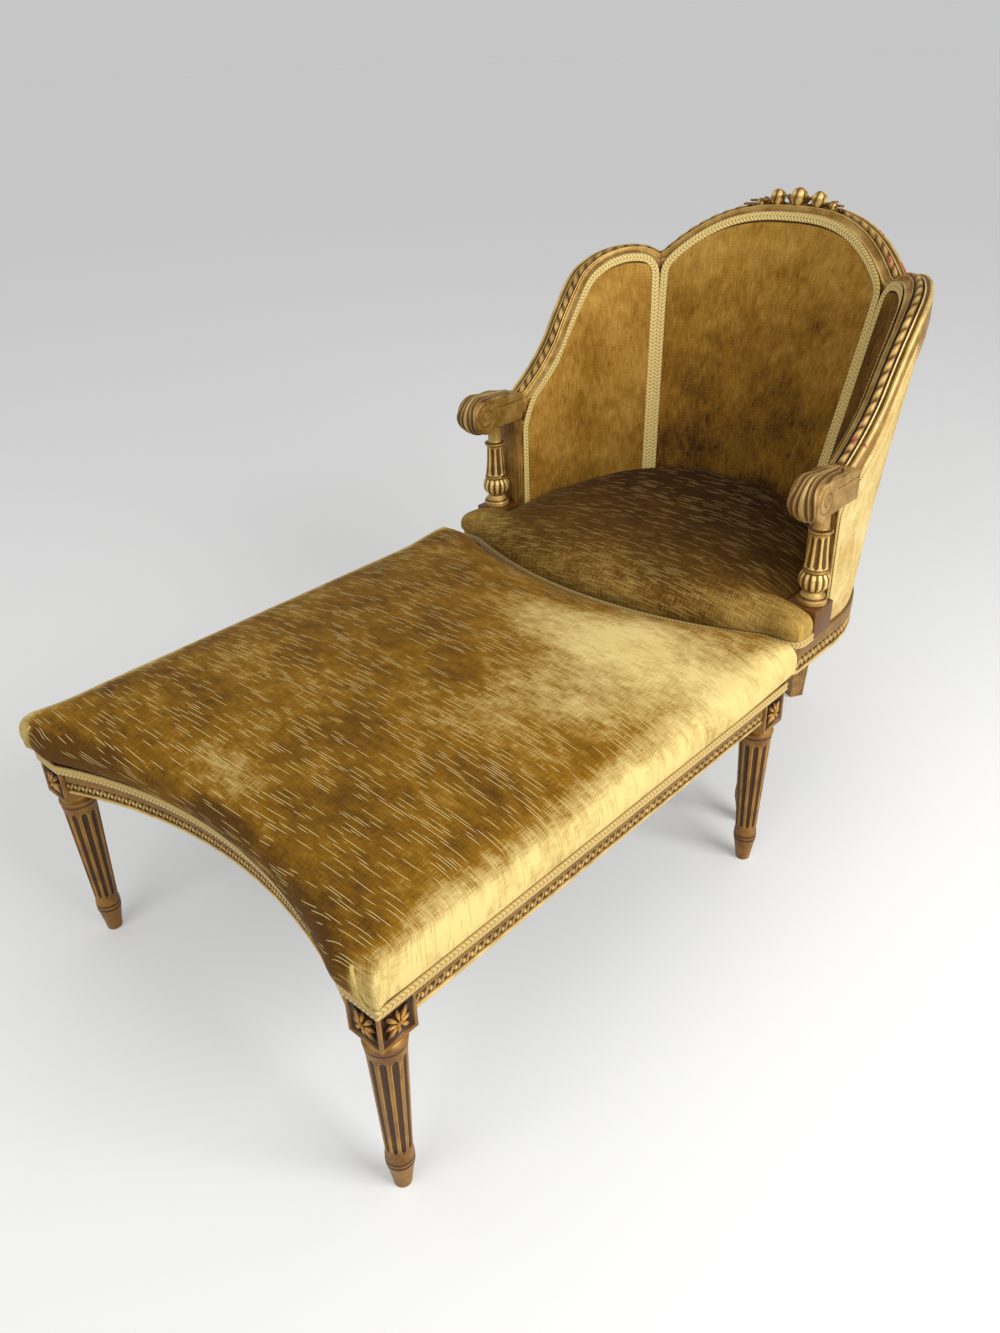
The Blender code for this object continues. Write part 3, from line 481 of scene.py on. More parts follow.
@dataclass(frozen=True)
class GiltWood:
    """Carved beech, water gilded over a red clay ground and toned with brown glaze.

    The glaze stays dark in the carving's recesses, the leaf is bright on its crests, and the red
    ground shows where hands and knocks have worn the leaf through.
    """

    name: str
    recess: str = "1f1004"
    low: str = "5e3f12"
    flat: str = "9a7028"
    crest: str = "f0d084"
    ground: str = "a84a3c"
    metallic: float = 0.45
    roughness: float = 0.42
    soiling: float = 0.5
    blotch_mm: float = 26.0
    grain_mm: float = 1.6

    def build(self) -> Material:
        """The finish as a material."""
        material, tree, shader = new_material(self.name)
        place = add(tree, "ShaderNodeTexCoord", {}).outputs["Object"]
        relief = add(tree, "ShaderNodeAttribute", {"attribute_name": "relief"}).outputs["Fac"]
        wear = add(tree, "ShaderNodeAttribute", {"attribute_name": "tone"}).outputs["Fac"]
        blotch = add(tree, "ShaderNodeTexNoise", {"Scale": 1 / (self.blotch_mm * MM), "Detail": 5.0,
                                                  "Roughness": 0.62}, {"Vector": place}).outputs["Fac"]
        grain = add(tree, "ShaderNodeTexNoise", {"Scale": 1 / (self.grain_mm * MM), "Detail": 2.0},
                    {"Vector": place}).outputs["Fac"]
        shift = add(tree, "ShaderNodeMath", {"operation": "MULTIPLY_ADD", 1: self.soiling,
                                             2: -0.5 * self.soiling}, {0: blotch}).outputs[0]
        level = add(tree, "ShaderNodeMath", {"operation": "ADD"}, {0: relief, 1: shift}).outputs[0]
        fine = add(tree, "ShaderNodeMath", {"operation": "MULTIPLY_ADD", 1: 0.16},
                   {0: grain, 2: level}).outputs[0]
        leaf = add(tree, "ShaderNodeValToRGB", {"stops": [(0.10, self.recess), (0.38, self.low),
                                                          (0.66, self.flat), (1.0, self.crest)]},
                   {"Fac": fine}).outputs["Color"]
        rubbed = add(tree, "ShaderNodeMath", {"operation": "MULTIPLY"}, {0: wear, 1: blotch}).outputs[0]
        bare = add(tree, "ShaderNodeMapRange", {"From Min": 0.54, "From Max": 0.60},
                   {"Value": rubbed}).outputs["Result"]
        colour = add(tree, "ShaderNodeMix", {"data_type": "RGBA", 7: linear(self.ground)},
                     {0: bare, 6: leaf}).outputs[2]
        gloss = add(tree, "ShaderNodeMapRange", {"To Min": self.roughness - 0.10,
                                                 "To Max": self.roughness + 0.16},
                    {"Value": blotch}).outputs["Result"]
        metal = add(tree, "ShaderNodeMapRange", {"To Min": self.metallic, "To Max": 0.0},
                    {"Value": bare}).outputs["Result"]
        bump = add(tree, "ShaderNodeBump", {"Strength": 0.25, "Distance": 0.4 * MM},
                   {"Height": grain}).outputs["Normal"]
        for socket, source in (("Base Color", colour), ("Roughness", gloss), ("Metallic", metal),
                               ("Normal", bump)):
            tree.links.new(source, shader.inputs[socket])
        return material


@dataclass(frozen=True)
class SlubVelvet:
    """Silk velvet woven with slubs: a crushed pile that reads dark or pale by the way it lies, and by the painted
    light and shade that each piece lays on it through its tone.

    Thin slubs run along the weft as short staggered dashes, pale where the pile lies dark and dark
    where it lies pale. The pile is brushed into soft patches, crossed by the fine lines of the weave.
    The slubs are drawn about twice as thick as the real 0.7 mm, so that they show in the render.
    """

    name: str
    deep: str = "5c3a04"
    mid: str = "92660c"
    pale: str = "ead086"
    slub: str = "f2dc98"
    slub_shade: str = "b8903e"
    slub_share: float = 0.36
    slub_strength: float = 0.78
    slub_length_mm: float = 46.0
    slub_pitch_mm: float = 3.0
    slub_width_mm: float = 0.70
    patch_mm: tuple[float, float, float] = (100.0, 80.0, 1.0)
    patch_depth: float = 0.66
    crush_mm: tuple[float, float, float] = (28.0, 13.0, 1.0)
    crush_depth: float = 0.48
    warp_mm: tuple[float, float, float] = (1.4, 15.0, 1.0)
    warp_depth: float = 0.42
    weft_mm: tuple[float, float, float] = (20.0, 1.5, 1.0)
    weft_depth: float = 0.44

    def slubs(self, tree: bpy.types.NodeTree, cloth: bpy.types.NodeSocket) -> bpy.types.NodeSocket:
        """Where the slubs lie, 1 on a slub.

        Args:
            tree: the material's nodes.
            cloth: the cloth's own coordinates in metres.

        Returns:
            The socket with the pattern.
        """
        scale = (1 / (self.slub_length_mm * MM), 1 / (self.slub_pitch_mm * MM), 1.0)
        place = add(tree, "ShaderNodeMapping", {"Scale": scale}, {"Vector": cloth}).outputs["Vector"]
        parts = add(tree, "ShaderNodeSeparateXYZ", {}, {"Vector": place}).outputs
        sway = blots(tree, cloth, (160.0, 160.0, 1.0), 1.0)
        across = maths(tree, "MULTIPLY_ADD", sway, 1.0, parts["Y"])
        row = maths(tree, "FLOOR", across)
        start = add(tree, "ShaderNodeTexWhiteNoise", {"noise_dimensions": "1D"}, {"W": row}).outputs["Value"]
        along = maths(tree, "MULTIPLY_ADD", start, 37.0, parts["X"])
        cell = maths(tree, "FLOOR", along)
        seed = add(tree, "ShaderNodeCombineXYZ", {}, {"X": cell, "Y": row}).outputs["Vector"]
        chance = add(tree, "ShaderNodeTexWhiteNoise", {"noise_dimensions": "2D"},
                     {"Vector": seed}).outputs["Value"]
        there = maths(tree, "GREATER_THAN", chance, 1 - self.slub_share)
        end = maths(tree, "ABSOLUTE", maths(tree, "ADD", maths(tree, "FRACT", along), -0.5))
        jitter = maths(tree, "MULTIPLY_ADD", chance, 0.5, -0.75)
        side = maths(tree, "ABSOLUTE", maths(tree, "ADD", maths(tree, "FRACT", across), jitter))
        half = 0.5 * self.slub_width_mm / self.slub_pitch_mm
        body = add(tree, "ShaderNodeMapRange", {"From Min": half * 1.3, "From Max": half * 0.5},
                   {"Value": side}).outputs["Result"]
        uneven = maths(tree, "FRACT", maths(tree, "MULTIPLY", chance, 9.0))
        shorter = maths(tree, "MULTIPLY_ADD", uneven, 0.30, end)
        tips = add(tree, "ShaderNodeMapRange", {"From Min": 0.50, "From Max": 0.36},
                   {"Value": shorter}).outputs["Result"]
        return maths(tree, "MULTIPLY", there, maths(tree, "MULTIPLY", body, tips))

    def build(self) -> Material:
        """The finish as a material."""
        material, tree, shader = new_material(self.name)
        cloth = add(tree, "ShaderNodeUVMap", {"uv_map": "cloth"}).outputs["UV"]
        # The tone attribute sets how pale the pile starts; on the cushions and inner panels it carries painted light
        # and shade laid on by place.
        total = add(tree, "ShaderNodeAttribute", {"attribute_name": "tone"}).outputs["Fac"]
        weave = []
        for size, depth, detail in ((self.patch_mm, self.patch_depth, 2.0),
                                    (self.crush_mm, self.crush_depth, 3.0),
                                    (self.warp_mm, self.warp_depth, 1.0),
                                    (self.weft_mm, self.weft_depth, 1.0)):
            weave.append(blots(tree, cloth, size, detail))
            centred = maths(tree, "MULTIPLY_ADD", weave[-1], depth, -0.5 * depth)
            total = maths(tree, "ADD", total, centred)
        pile = add(tree, "ShaderNodeValToRGB", {"stops": [(0.12, self.deep), (0.45, self.mid),
                                                          (0.88, self.pale)]},
                   {"Fac": total}).outputs["Color"]
        slub = add(tree, "ShaderNodeValToRGB", {"stops": [(0.52, self.slub), (0.74, self.slub_shade)]},
                   {"Fac": total}).outputs["Color"]
        dash = maths(tree, "MULTIPLY", self.slubs(tree, cloth), self.slub_strength)
        colour = add(tree, "ShaderNodeMix", {"data_type": "RGBA"}, {0: dash, 6: pile, 7: slub}).outputs[2]
        threads = maths(tree, "ADD", weave[-1], weave[-2])
        height = maths(tree, "ADD", threads, dash)
        bump = add(tree, "ShaderNodeBump", {"Strength": 0.35, "Distance": 0.5 * MM},
                   {"Height": height}).outputs["Normal"]
        tree.links.new(colour, shader.inputs["Base Color"])
        tree.links.new(bump, shader.inputs["Normal"])
        shader.inputs["Roughness"].default_value = 0.80
        shader.inputs["Specular IOR Level"].default_value = 0.2
        shader.inputs["Sheen Weight"].default_value = 0.04
        shader.inputs["Sheen Roughness"].default_value = 0.35
        shader.inputs["Sheen Tint"].default_value = linear("f3dfa6")
        return material


@dataclass(frozen=True)
class SilkBraid:
    """Flat plaited silk braid: pale ribs that stand proud of the gaps, each rib of fine threads. The gaps are
    coloured dark as painted shade between the ribs, and the rib tops light as a painted highlight.
    """

    name: str
    gap: str = "7d5c22"
    rib: str = "d9c182"
    light: str = "f0e2b2"
    thread_mm: float = 0.9

    def build(self) -> Material:
        """The finish as a material."""
        material, tree, shader = new_material(self.name)
        place = add(tree, "ShaderNodeTexCoord", {}).outputs["Object"]
        relief = add(tree, "ShaderNodeAttribute", {"attribute_name": "relief"}).outputs["Fac"]
        thread = add(tree, "ShaderNodeTexNoise", {"Scale": 1 / (self.thread_mm * MM), "Detail": 2.0},
                     {"Vector": place}).outputs["Fac"]
        level = add(tree, "ShaderNodeMath", {"operation": "MULTIPLY_ADD", 1: 0.5, 2: -0.25},
                    {0: thread}).outputs[0]
        total = add(tree, "ShaderNodeMath", {"operation": "ADD"}, {0: relief, 1: level}).outputs[0]
        # Low relief takes the gap colour, painted shade between the ribs; high relief takes the light colour, a
        # painted highlight on the rib tops.
        colour = add(tree, "ShaderNodeValToRGB", {"stops": [(0.15, self.gap), (0.6, self.rib),
                                                            (1.0, self.light)]},
                     {"Fac": total}).outputs["Color"]
        bump = add(tree, "ShaderNodeBump", {"Strength": 0.4, "Distance": 0.4 * MM},
                   {"Height": thread}).outputs["Normal"]
        tree.links.new(colour, shader.inputs["Base Color"])
        tree.links.new(bump, shader.inputs["Normal"])
        shader.inputs["Roughness"].default_value = 0.6
        shader.inputs["Sheen Weight"].default_value = 0.3
        shader.inputs["Sheen Roughness"].default_value = 0.4
        return material


@dataclass(frozen=True)
class PlainWeave:
    """A plain woven cloth: two sets of threads that pass over and under each other."""

    name: str
    dark: str
    light: str
    thread_mm: float
    roughness: float = 0.92

    def build(self) -> Material:
        """The finish as a material."""
        material, tree, shader = new_material(self.name)
        place = add(tree, "ShaderNodeTexCoord", {}).outputs["Object"]
        waves = []
        for direction in ("X", "Y"):
            wave = add(tree, "ShaderNodeTexWave", {"bands_direction": direction, "Distortion": 0.6,
                                                   "Scale": 0.314 / (self.thread_mm * MM)},
                       {"Vector": place})
            waves.append(wave.outputs["Fac"])
        height = add(tree, "ShaderNodeMath", {"operation": "MULTIPLY"}, {0: waves[0], 1: waves[1]}).outputs[0]
        uneven = add(tree, "ShaderNodeTexNoise", {"Scale": 1 / (9 * MM), "Detail": 3.0},
                     {"Vector": place}).outputs["Fac"]
        level = add(tree, "ShaderNodeMath", {"operation": "MULTIPLY_ADD", 1: 0.6}, {0: height, 2: uneven}).outputs[0]
        colour = add(tree, "ShaderNodeValToRGB", {"stops": [(0.3, self.dark), (1.0, self.light)]},
                     {"Fac": level}).outputs["Color"]
        bump = add(tree, "ShaderNodeBump", {"Strength": 0.4, "Distance": 0.3 * MM},
                   {"Height": height}).outputs["Normal"]
        tree.links.new(colour, shader.inputs["Base Color"])
        tree.links.new(bump, shader.inputs["Normal"])
        shader.inputs["Roughness"].default_value = self.roughness
        return material


@dataclass(frozen=True)
class BareBeech:
    """Sawn beech, left bare inside the frame: straight grain with short dark flecks."""

    name: str = "sawn beech"
    dark: str = "8a6238"
    light: str = "c39a66"
    grain_mm: float = 2.2

    def build(self) -> Material:
        """The finish as a material."""
        material, tree, shader = new_material(self.name)
        place = add(tree, "ShaderNodeTexCoord", {}).outputs["Object"]
        long = add(tree, "ShaderNodeMapping", {"Scale": (0.12, 0.12, 1.0)}, {"Vector": place}).outputs["Vector"]
        grain = add(tree, "ShaderNodeTexNoise", {"Scale": 1 / (self.grain_mm * MM), "Detail": 4.0},
                    {"Vector": long}).outputs["Fac"]
        colour = add(tree, "ShaderNodeValToRGB", {"stops": [(0.3, self.dark), (0.7, self.light)]},
                     {"Fac": grain}).outputs["Color"]
        bump = add(tree, "ShaderNodeBump", {"Strength": 0.2, "Distance": 0.3 * MM},
                   {"Height": grain}).outputs["Normal"]
        tree.links.new(colour, shader.inputs["Base Color"])
        tree.links.new(bump, shader.inputs["Normal"])
        shader.inputs["Roughness"].default_value = 0.7
        return material


@dataclass(frozen=True)
class GlazedWood:
    """Plain beech under thin leaf and brown glaze, rubbed along the grain."""

    name: str = "brown glazed beech"
    dark: str = "5a3a14"
    light: str = "b88c40"
    grain_mm: tuple[float, float, float] = (3.0, 3.0, 26.0)

    def build(self) -> Material:
        """The finish as a material."""
        material, tree, shader = new_material(self.name)
        place = add(tree, "ShaderNodeTexCoord", {}).outputs["Object"]
        grain = blots(tree, place, self.grain_mm, 4.0)
        cloud = blots(tree, place, (40.0, 40.0, 40.0), 3.0)
        level = maths(tree, "ADD", maths(tree, "MULTIPLY", grain, 0.5), maths(tree, "MULTIPLY", cloud, 0.5))
        colour = add(tree, "ShaderNodeValToRGB", {"stops": [(0.36, self.dark), (0.62, self.light)]},
                     {"Fac": level}).outputs["Color"]
        gloss = add(tree, "ShaderNodeMapRange", {"To Min": 0.35, "To Max": 0.6}, {"Value": cloud}).outputs["Result"]
        bump = add(tree, "ShaderNodeBump", {"Strength": 0.2, "Distance": 0.3 * MM},
                   {"Height": grain}).outputs["Normal"]
        for socket, source in (("Base Color", colour), ("Roughness", gloss), ("Normal", bump)):
            tree.links.new(source, shader.inputs[socket])
        shader.inputs["Metallic"].default_value = 0.2
        return material


@dataclass(frozen=True)
class SpringSteel:
    """Drawn spring wire, dulled by a thin brown film with a little rust."""

    name: str = "spring steel wire"

    def build(self) -> Material:
        """The finish as a material."""
        material, tree, shader = new_material(self.name)
        place = add(tree, "ShaderNodeTexCoord", {}).outputs["Object"]
        film = add(tree, "ShaderNodeTexNoise", {"Scale": 1 / (7 * MM), "Detail": 4.0},
                   {"Vector": place}).outputs["Fac"]
        colour = add(tree, "ShaderNodeValToRGB", {"stops": [(0.4, "8d8a84"), (0.7, "6e5440")]},
                     {"Fac": film}).outputs["Color"]
        gloss = add(tree, "ShaderNodeMapRange", {"To Min": 0.3, "To Max": 0.6}, {"Value": film}).outputs["Result"]
        tree.links.new(colour, shader.inputs["Base Color"])
        tree.links.new(gloss, shader.inputs["Roughness"])
        shader.inputs["Metallic"].default_value = 1.0
        return material


@dataclass(frozen=True)
class Finishes:
    """Every finish of the two pieces, built once."""

    gilt: Material = field(default_factory=GiltWood("gilt wood").build)
    leaf: Material = field(default_factory=GiltWood(
        "worn gilt carving", recess="3c260c", low="6e4c1c", flat="8e6a34", crest="c9a868").build)
    leg: Material = field(default_factory=GiltWood(
        "brown glazed gilt wood", recess="2c1606", low="472a0a", flat="774b12", crest="ca9842", metallic=0.3).build)
    plain: Material = field(default_factory=GlazedWood().build)
    stool_velvet: Material = field(default_factory=SlubVelvet("gold slub velvet").build)
    seat_velvet: Material = field(default_factory=SlubVelvet(
        "brown slub velvet", deep="301700", mid="624006", pale="c8a250", slub="c4a666",
        slub_shade="ccb06e", slub_width_mm=0.75, patch_depth=0.40, crush_depth=0.26).build)
    panel_velvet: Material = field(default_factory=SlubVelvet(
        "amber velvet", deep="422400", mid="92661a", pale="cfa24c", slub="a8844a", slub_shade="8a6830",
        slub_share=0.30, slub_strength=0.35, slub_length_mm=26.0, patch_depth=0.62,
        crush_mm=(14.0, 22.0, 1.0), crush_depth=0.40, warp_mm=(1.6, 22.0, 1.0), warp_depth=0.50,
        weft_mm=(14.0, 1.4, 1.0), weft_depth=0.30).build)
    cover_velvet: Material = field(default_factory=SlubVelvet(
        "pale gold velvet", deep="9c7838", mid="cfae68", pale="f2dfa4", slub="e8d294", slub_shade="c8a860",
        slub_share=0.25, slub_strength=0.5, patch_depth=0.9, crush_mm=(16.0, 30.0, 1.0)).build)
    # The gap colours of both braids are painted shade between the ribs; their light colours are painted highlights
    # on the rib tops.
    braid: Material = field(default_factory=SilkBraid("silk braid", gap="6a4a18", rib="d6b45c",
                                                      light="f4df9c").build)
    gimp: Material = field(default_factory=SilkBraid("velvet gimp", gap="8e6a2a", rib="c4a256",
                                                     light="ddc27c").build)
    beech: Material = field(default_factory=BareBeech().build)
    hessian: Material = field(default_factory=PlainWeave("hessian", "5e4526", "a98a5a", 2.0).build)
    webbing: Material = field(default_factory=PlainWeave("jute webbing", "6b4f2c", "b89a68", 1.6).build)
    black_cloth: Material = field(default_factory=PlainWeave("black cambric", "0b0b0c", "232326", 1.2).build)
    steel: Material = field(default_factory=SpringSteel().build)


# ---- shapes of the two pieces --------------------------------------------------------------


@dataclass(frozen=True)
class ShellPlan:
    """The plan line of the wings and back, its rake and its top line."""

    wing_x: float = 0.283
    front_y: float = 0.2657
    straight: float = 0.140
    corner_radius: float = 0.166
    corner_turn: float = math.radians(57.6)
    back_radius: float = 0.38435
    back_centre_y: float = 0.22134
    depth: float = 0.33999
    wing_run: float = 0.30688
    half_run: float = 0.52423
    rake_datum: float = 0.740
    rake: float = 0.136
    arm_top: float = 0.553
    wing_rise: float = 0.197
    crest_rise: float = 0.080
    crest_power: float = 2.8
    pad_inner: float = 0.0175
    seat_depth: float = 0.235
    seat_corner: float = math.radians(56.8)
    seat_top: float = 0.330
    wing_line: tuple[tuple[float, float], ...] = (
        (0.00, 0.00), (0.10, 0.10), (0.20, 0.22), (0.28, 0.35), (0.36, 0.53), (0.44, 0.70),
        (0.52, 0.84), (0.62, 0.93), (0.72, 0.98), (0.82, 1.00), (0.92, 0.985), (1.00, 0.93))

    def frame(self, run: float) -> tuple[Vector, Vector]:
        """Plan point and outward normal on the right half.

        Args:
            run: metres behind the front stile.

        Returns:
            The point and the normal.
        """
        if run <= self.straight:
            return Vector((self.wing_x, self.front_y + run)), Vector((1, 0))
        if run <= self.wing_run:
            turn = (run - self.straight) / self.corner_radius
            centre = Vector((self.wing_x - self.corner_radius, self.front_y + self.straight))
            normal = Vector((math.cos(turn), math.sin(turn)))
            return centre + self.corner_radius * normal, normal
        turn = self.corner_turn + (run - self.wing_run) / self.back_radius
        normal = Vector((math.cos(turn), math.sin(turn)))
        return Vector((0, self.back_centre_y)) + self.back_radius * normal, normal

    def at(self, run: float, out: float, z: float) -> Vector:
        """A point of the shell, raked with height; past the middle it runs on round the left.

        Args:
            run: metres behind the right front stile.
            out: metres outside the plan line.
            z: height.

        Returns:
            The point.
        """
        side = 1
        if run > self.half_run:
            run, side = 2 * self.half_run - run, -1
        top = self.wing_top(run) if run <= self.wing_run else self.crest_top(run)
        point, normal = self.frame(run)
        high = point + normal * out
        high.y += self.rake * (max(top, z) - self.rake_datum) * max(0.0, (high.y - self.front_y) / self.depth)
        point, normal = self.seat_line(run)
        low = point + normal * out
        place = low.lerp(high, clamp((z - self.seat_top) / (top - self.seat_top)))
        return Vector((side * place.x, place.y, z))

    def seat_line(self, run: float) -> tuple[Vector, Vector]:
        """Plan point and outward normal at the seat rails, on the right half.

        Args:
            run: metres behind the front stile, measured on the line above.

        Returns:
            The point and the normal.
        """
        if run <= 0:
            return Vector((self.wing_x, self.front_y + run)), Vector((1, 0))
        if run <= self.wing_run:
            turn = self.seat_corner * run / self.wing_run
        else:
            share = (run - self.wing_run) / (self.half_run - self.wing_run)
            turn = self.seat_corner + (math.pi / 2 - self.seat_corner) * share
        point = Vector((self.wing_x * math.cos(turn), self.front_y + self.seat_depth * math.sin(turn)))
        return point, Vector((self.seat_depth * math.cos(turn), self.wing_x * math.sin(turn))).normalized()

    def wing_top(self, run: float) -> float:
        """Height of the wing's top line."""
        return self.arm_top + self.wing_rise * smooth_line(self.wing_line, clamp(run / self.wing_run))

    def crest_top(self, run: float) -> float:
        """Height of the back's top line, past the middle too."""
        run = min(run, 2 * self.half_run - run)
        spring = self.arm_top + self.wing_rise * self.wing_line[-1][1]
        x = self.frame(run)[0].x / self.frame(self.wing_run)[0].x
        return spring + self.crest_rise * (1 - min(1.0, abs(x)) ** self.crest_power)


@dataclass(frozen=True)
class EndArc:
    """The curve of an end rail between its two corner blocks."""

    chord: float
    sagitta: float

    def at(self, x: float) -> float:
        """How far the curve stands from the blocks' face line at x."""
        radius = (self.chord**2 + self.sagitta**2) / (2 * self.sagitta)
        return math.sqrt(radius**2 - min(abs(x), self.chord) ** 2) - (radius - self.sagitta)


STOOL_ARC = EndArc(0.271, 0.058)
CHAIR_ARC = EndArc(0.2655, 0.057)
SHELL = ShellPlan()


# ---- sub-assemblies ------------------------------------------------------------------------


@dataclass
class SubAssembly:
    """What every group of pieces shares: its body and the finishes."""

    finishes: Finishes
    body: Body = Body.CHAIR

    def piece(self, name: str, bm: BMesh, material: Material, slot: Slot,
              replaced: Sequence[str] = (), smooth: bool = True) -> Piece:
        """Turn a mesh into a finished piece that rides on the body.

        Args:
            name: the piece's name.
            bm: its mesh, freed here.
            material: its finish.
            slot: the record's slot it takes its finish from; not used.
            replaced: CAD nodes that it stands for.
            smooth: whether its faces are shaded smooth.

        Returns:
            The object.
        """
        for face in bm.faces:
            face.smooth = smooth
        mesh = bpy.data.meshes.new(name)
        bm.to_mesh(mesh)
        bm.free()
        mesh.materials.append(material)
        obj = bpy.data.objects.new(name, mesh)
        bpy.context.scene.collection.objects.link(obj)
        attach(obj, self.body.value)
        if replaced:
            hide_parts(*replaced)
        log.info("%s: %d faces", name, len(mesh.polygons))
        return obj


def inflate(obj: Piece, cap_mm: float, pressure: float = 4.0, frames: int = 20) -> None:
    """Let the stuffing push a cover outwards in a short cloth simulation, then round it once more.

    Points whose relief is 1 are tacked down and stay. No other point moves further than the cap.

    Args:
        obj: the piece, made a little smaller than it ends up.
        cap_mm: how far a point may move.
        pressure: the push of the stuffing.
        frames: length of the simulation.
    """
    scene = bpy.context.scene
    copy = bpy.data.objects.new("stuffing", obj.data.copy())
    scene.collection.objects.link(copy)
    tacks = copy.vertex_groups.new(name="tacks")
    held = [i for i, flag in enumerate(copy.data.attributes["relief"].data) if flag.value > 0.99]
    tacks.add(held, 1.0, "REPLACE")
    cloth = copy.modifiers.new("cover", "CLOTH")
    cloth.settings.quality = 4
    cloth.settings.mass = 0.25
    cloth.settings.vertex_group_mass = tacks.name
    cloth.settings.use_pressure = True
    cloth.settings.uniform_pressure_force = pressure
    cloth.settings.effector_weights.gravity = 0.0
    cloth.collision_settings.use_collision = False
    for number in range(1, frames + 1):
        scene.frame_set(number)
    swollen = copy.evaluated_get(bpy.context.evaluated_depsgraph_get())
    mesh = swollen.to_mesh()
    reach = 0.0
    for vert, target in zip(obj.data.vertices, mesh.vertices):
        step = target.co - vert.co
        reach = max(reach, step.length)
        vert.co += step * min(1.0, cap_mm * MM / max(step.length, 1e-9))
    swollen.to_mesh_clear()
    bpy.data.objects.remove(copy)
    scene.frame_set(1)
    log.info("%s swells by up to %.1f mm, capped at %.1f mm", obj.name, reach / MM, cap_mm)
    rounding = obj.modifiers.new("rounding", "SUBSURF")
    rounding.levels = rounding.render_levels = 1


def ripple(x: float, y: float) -> float:
    """A soft uneven wave of stuffing, from -1 to 1.

    Args:
        x: one coordinate in metres.
        y: the other.

    Returns:
        The height of the wave.
    """
    return (0.6 * math.sin(41 * x + 1.7 * math.sin(19 * y)) * math.sin(33 * y + 1.3 * math.sin(23 * x) + 0.7)
            + 0.4 * math.sin(77 * x - 24 * y + 2.0) * math.sin(59 * y + 12 * x))


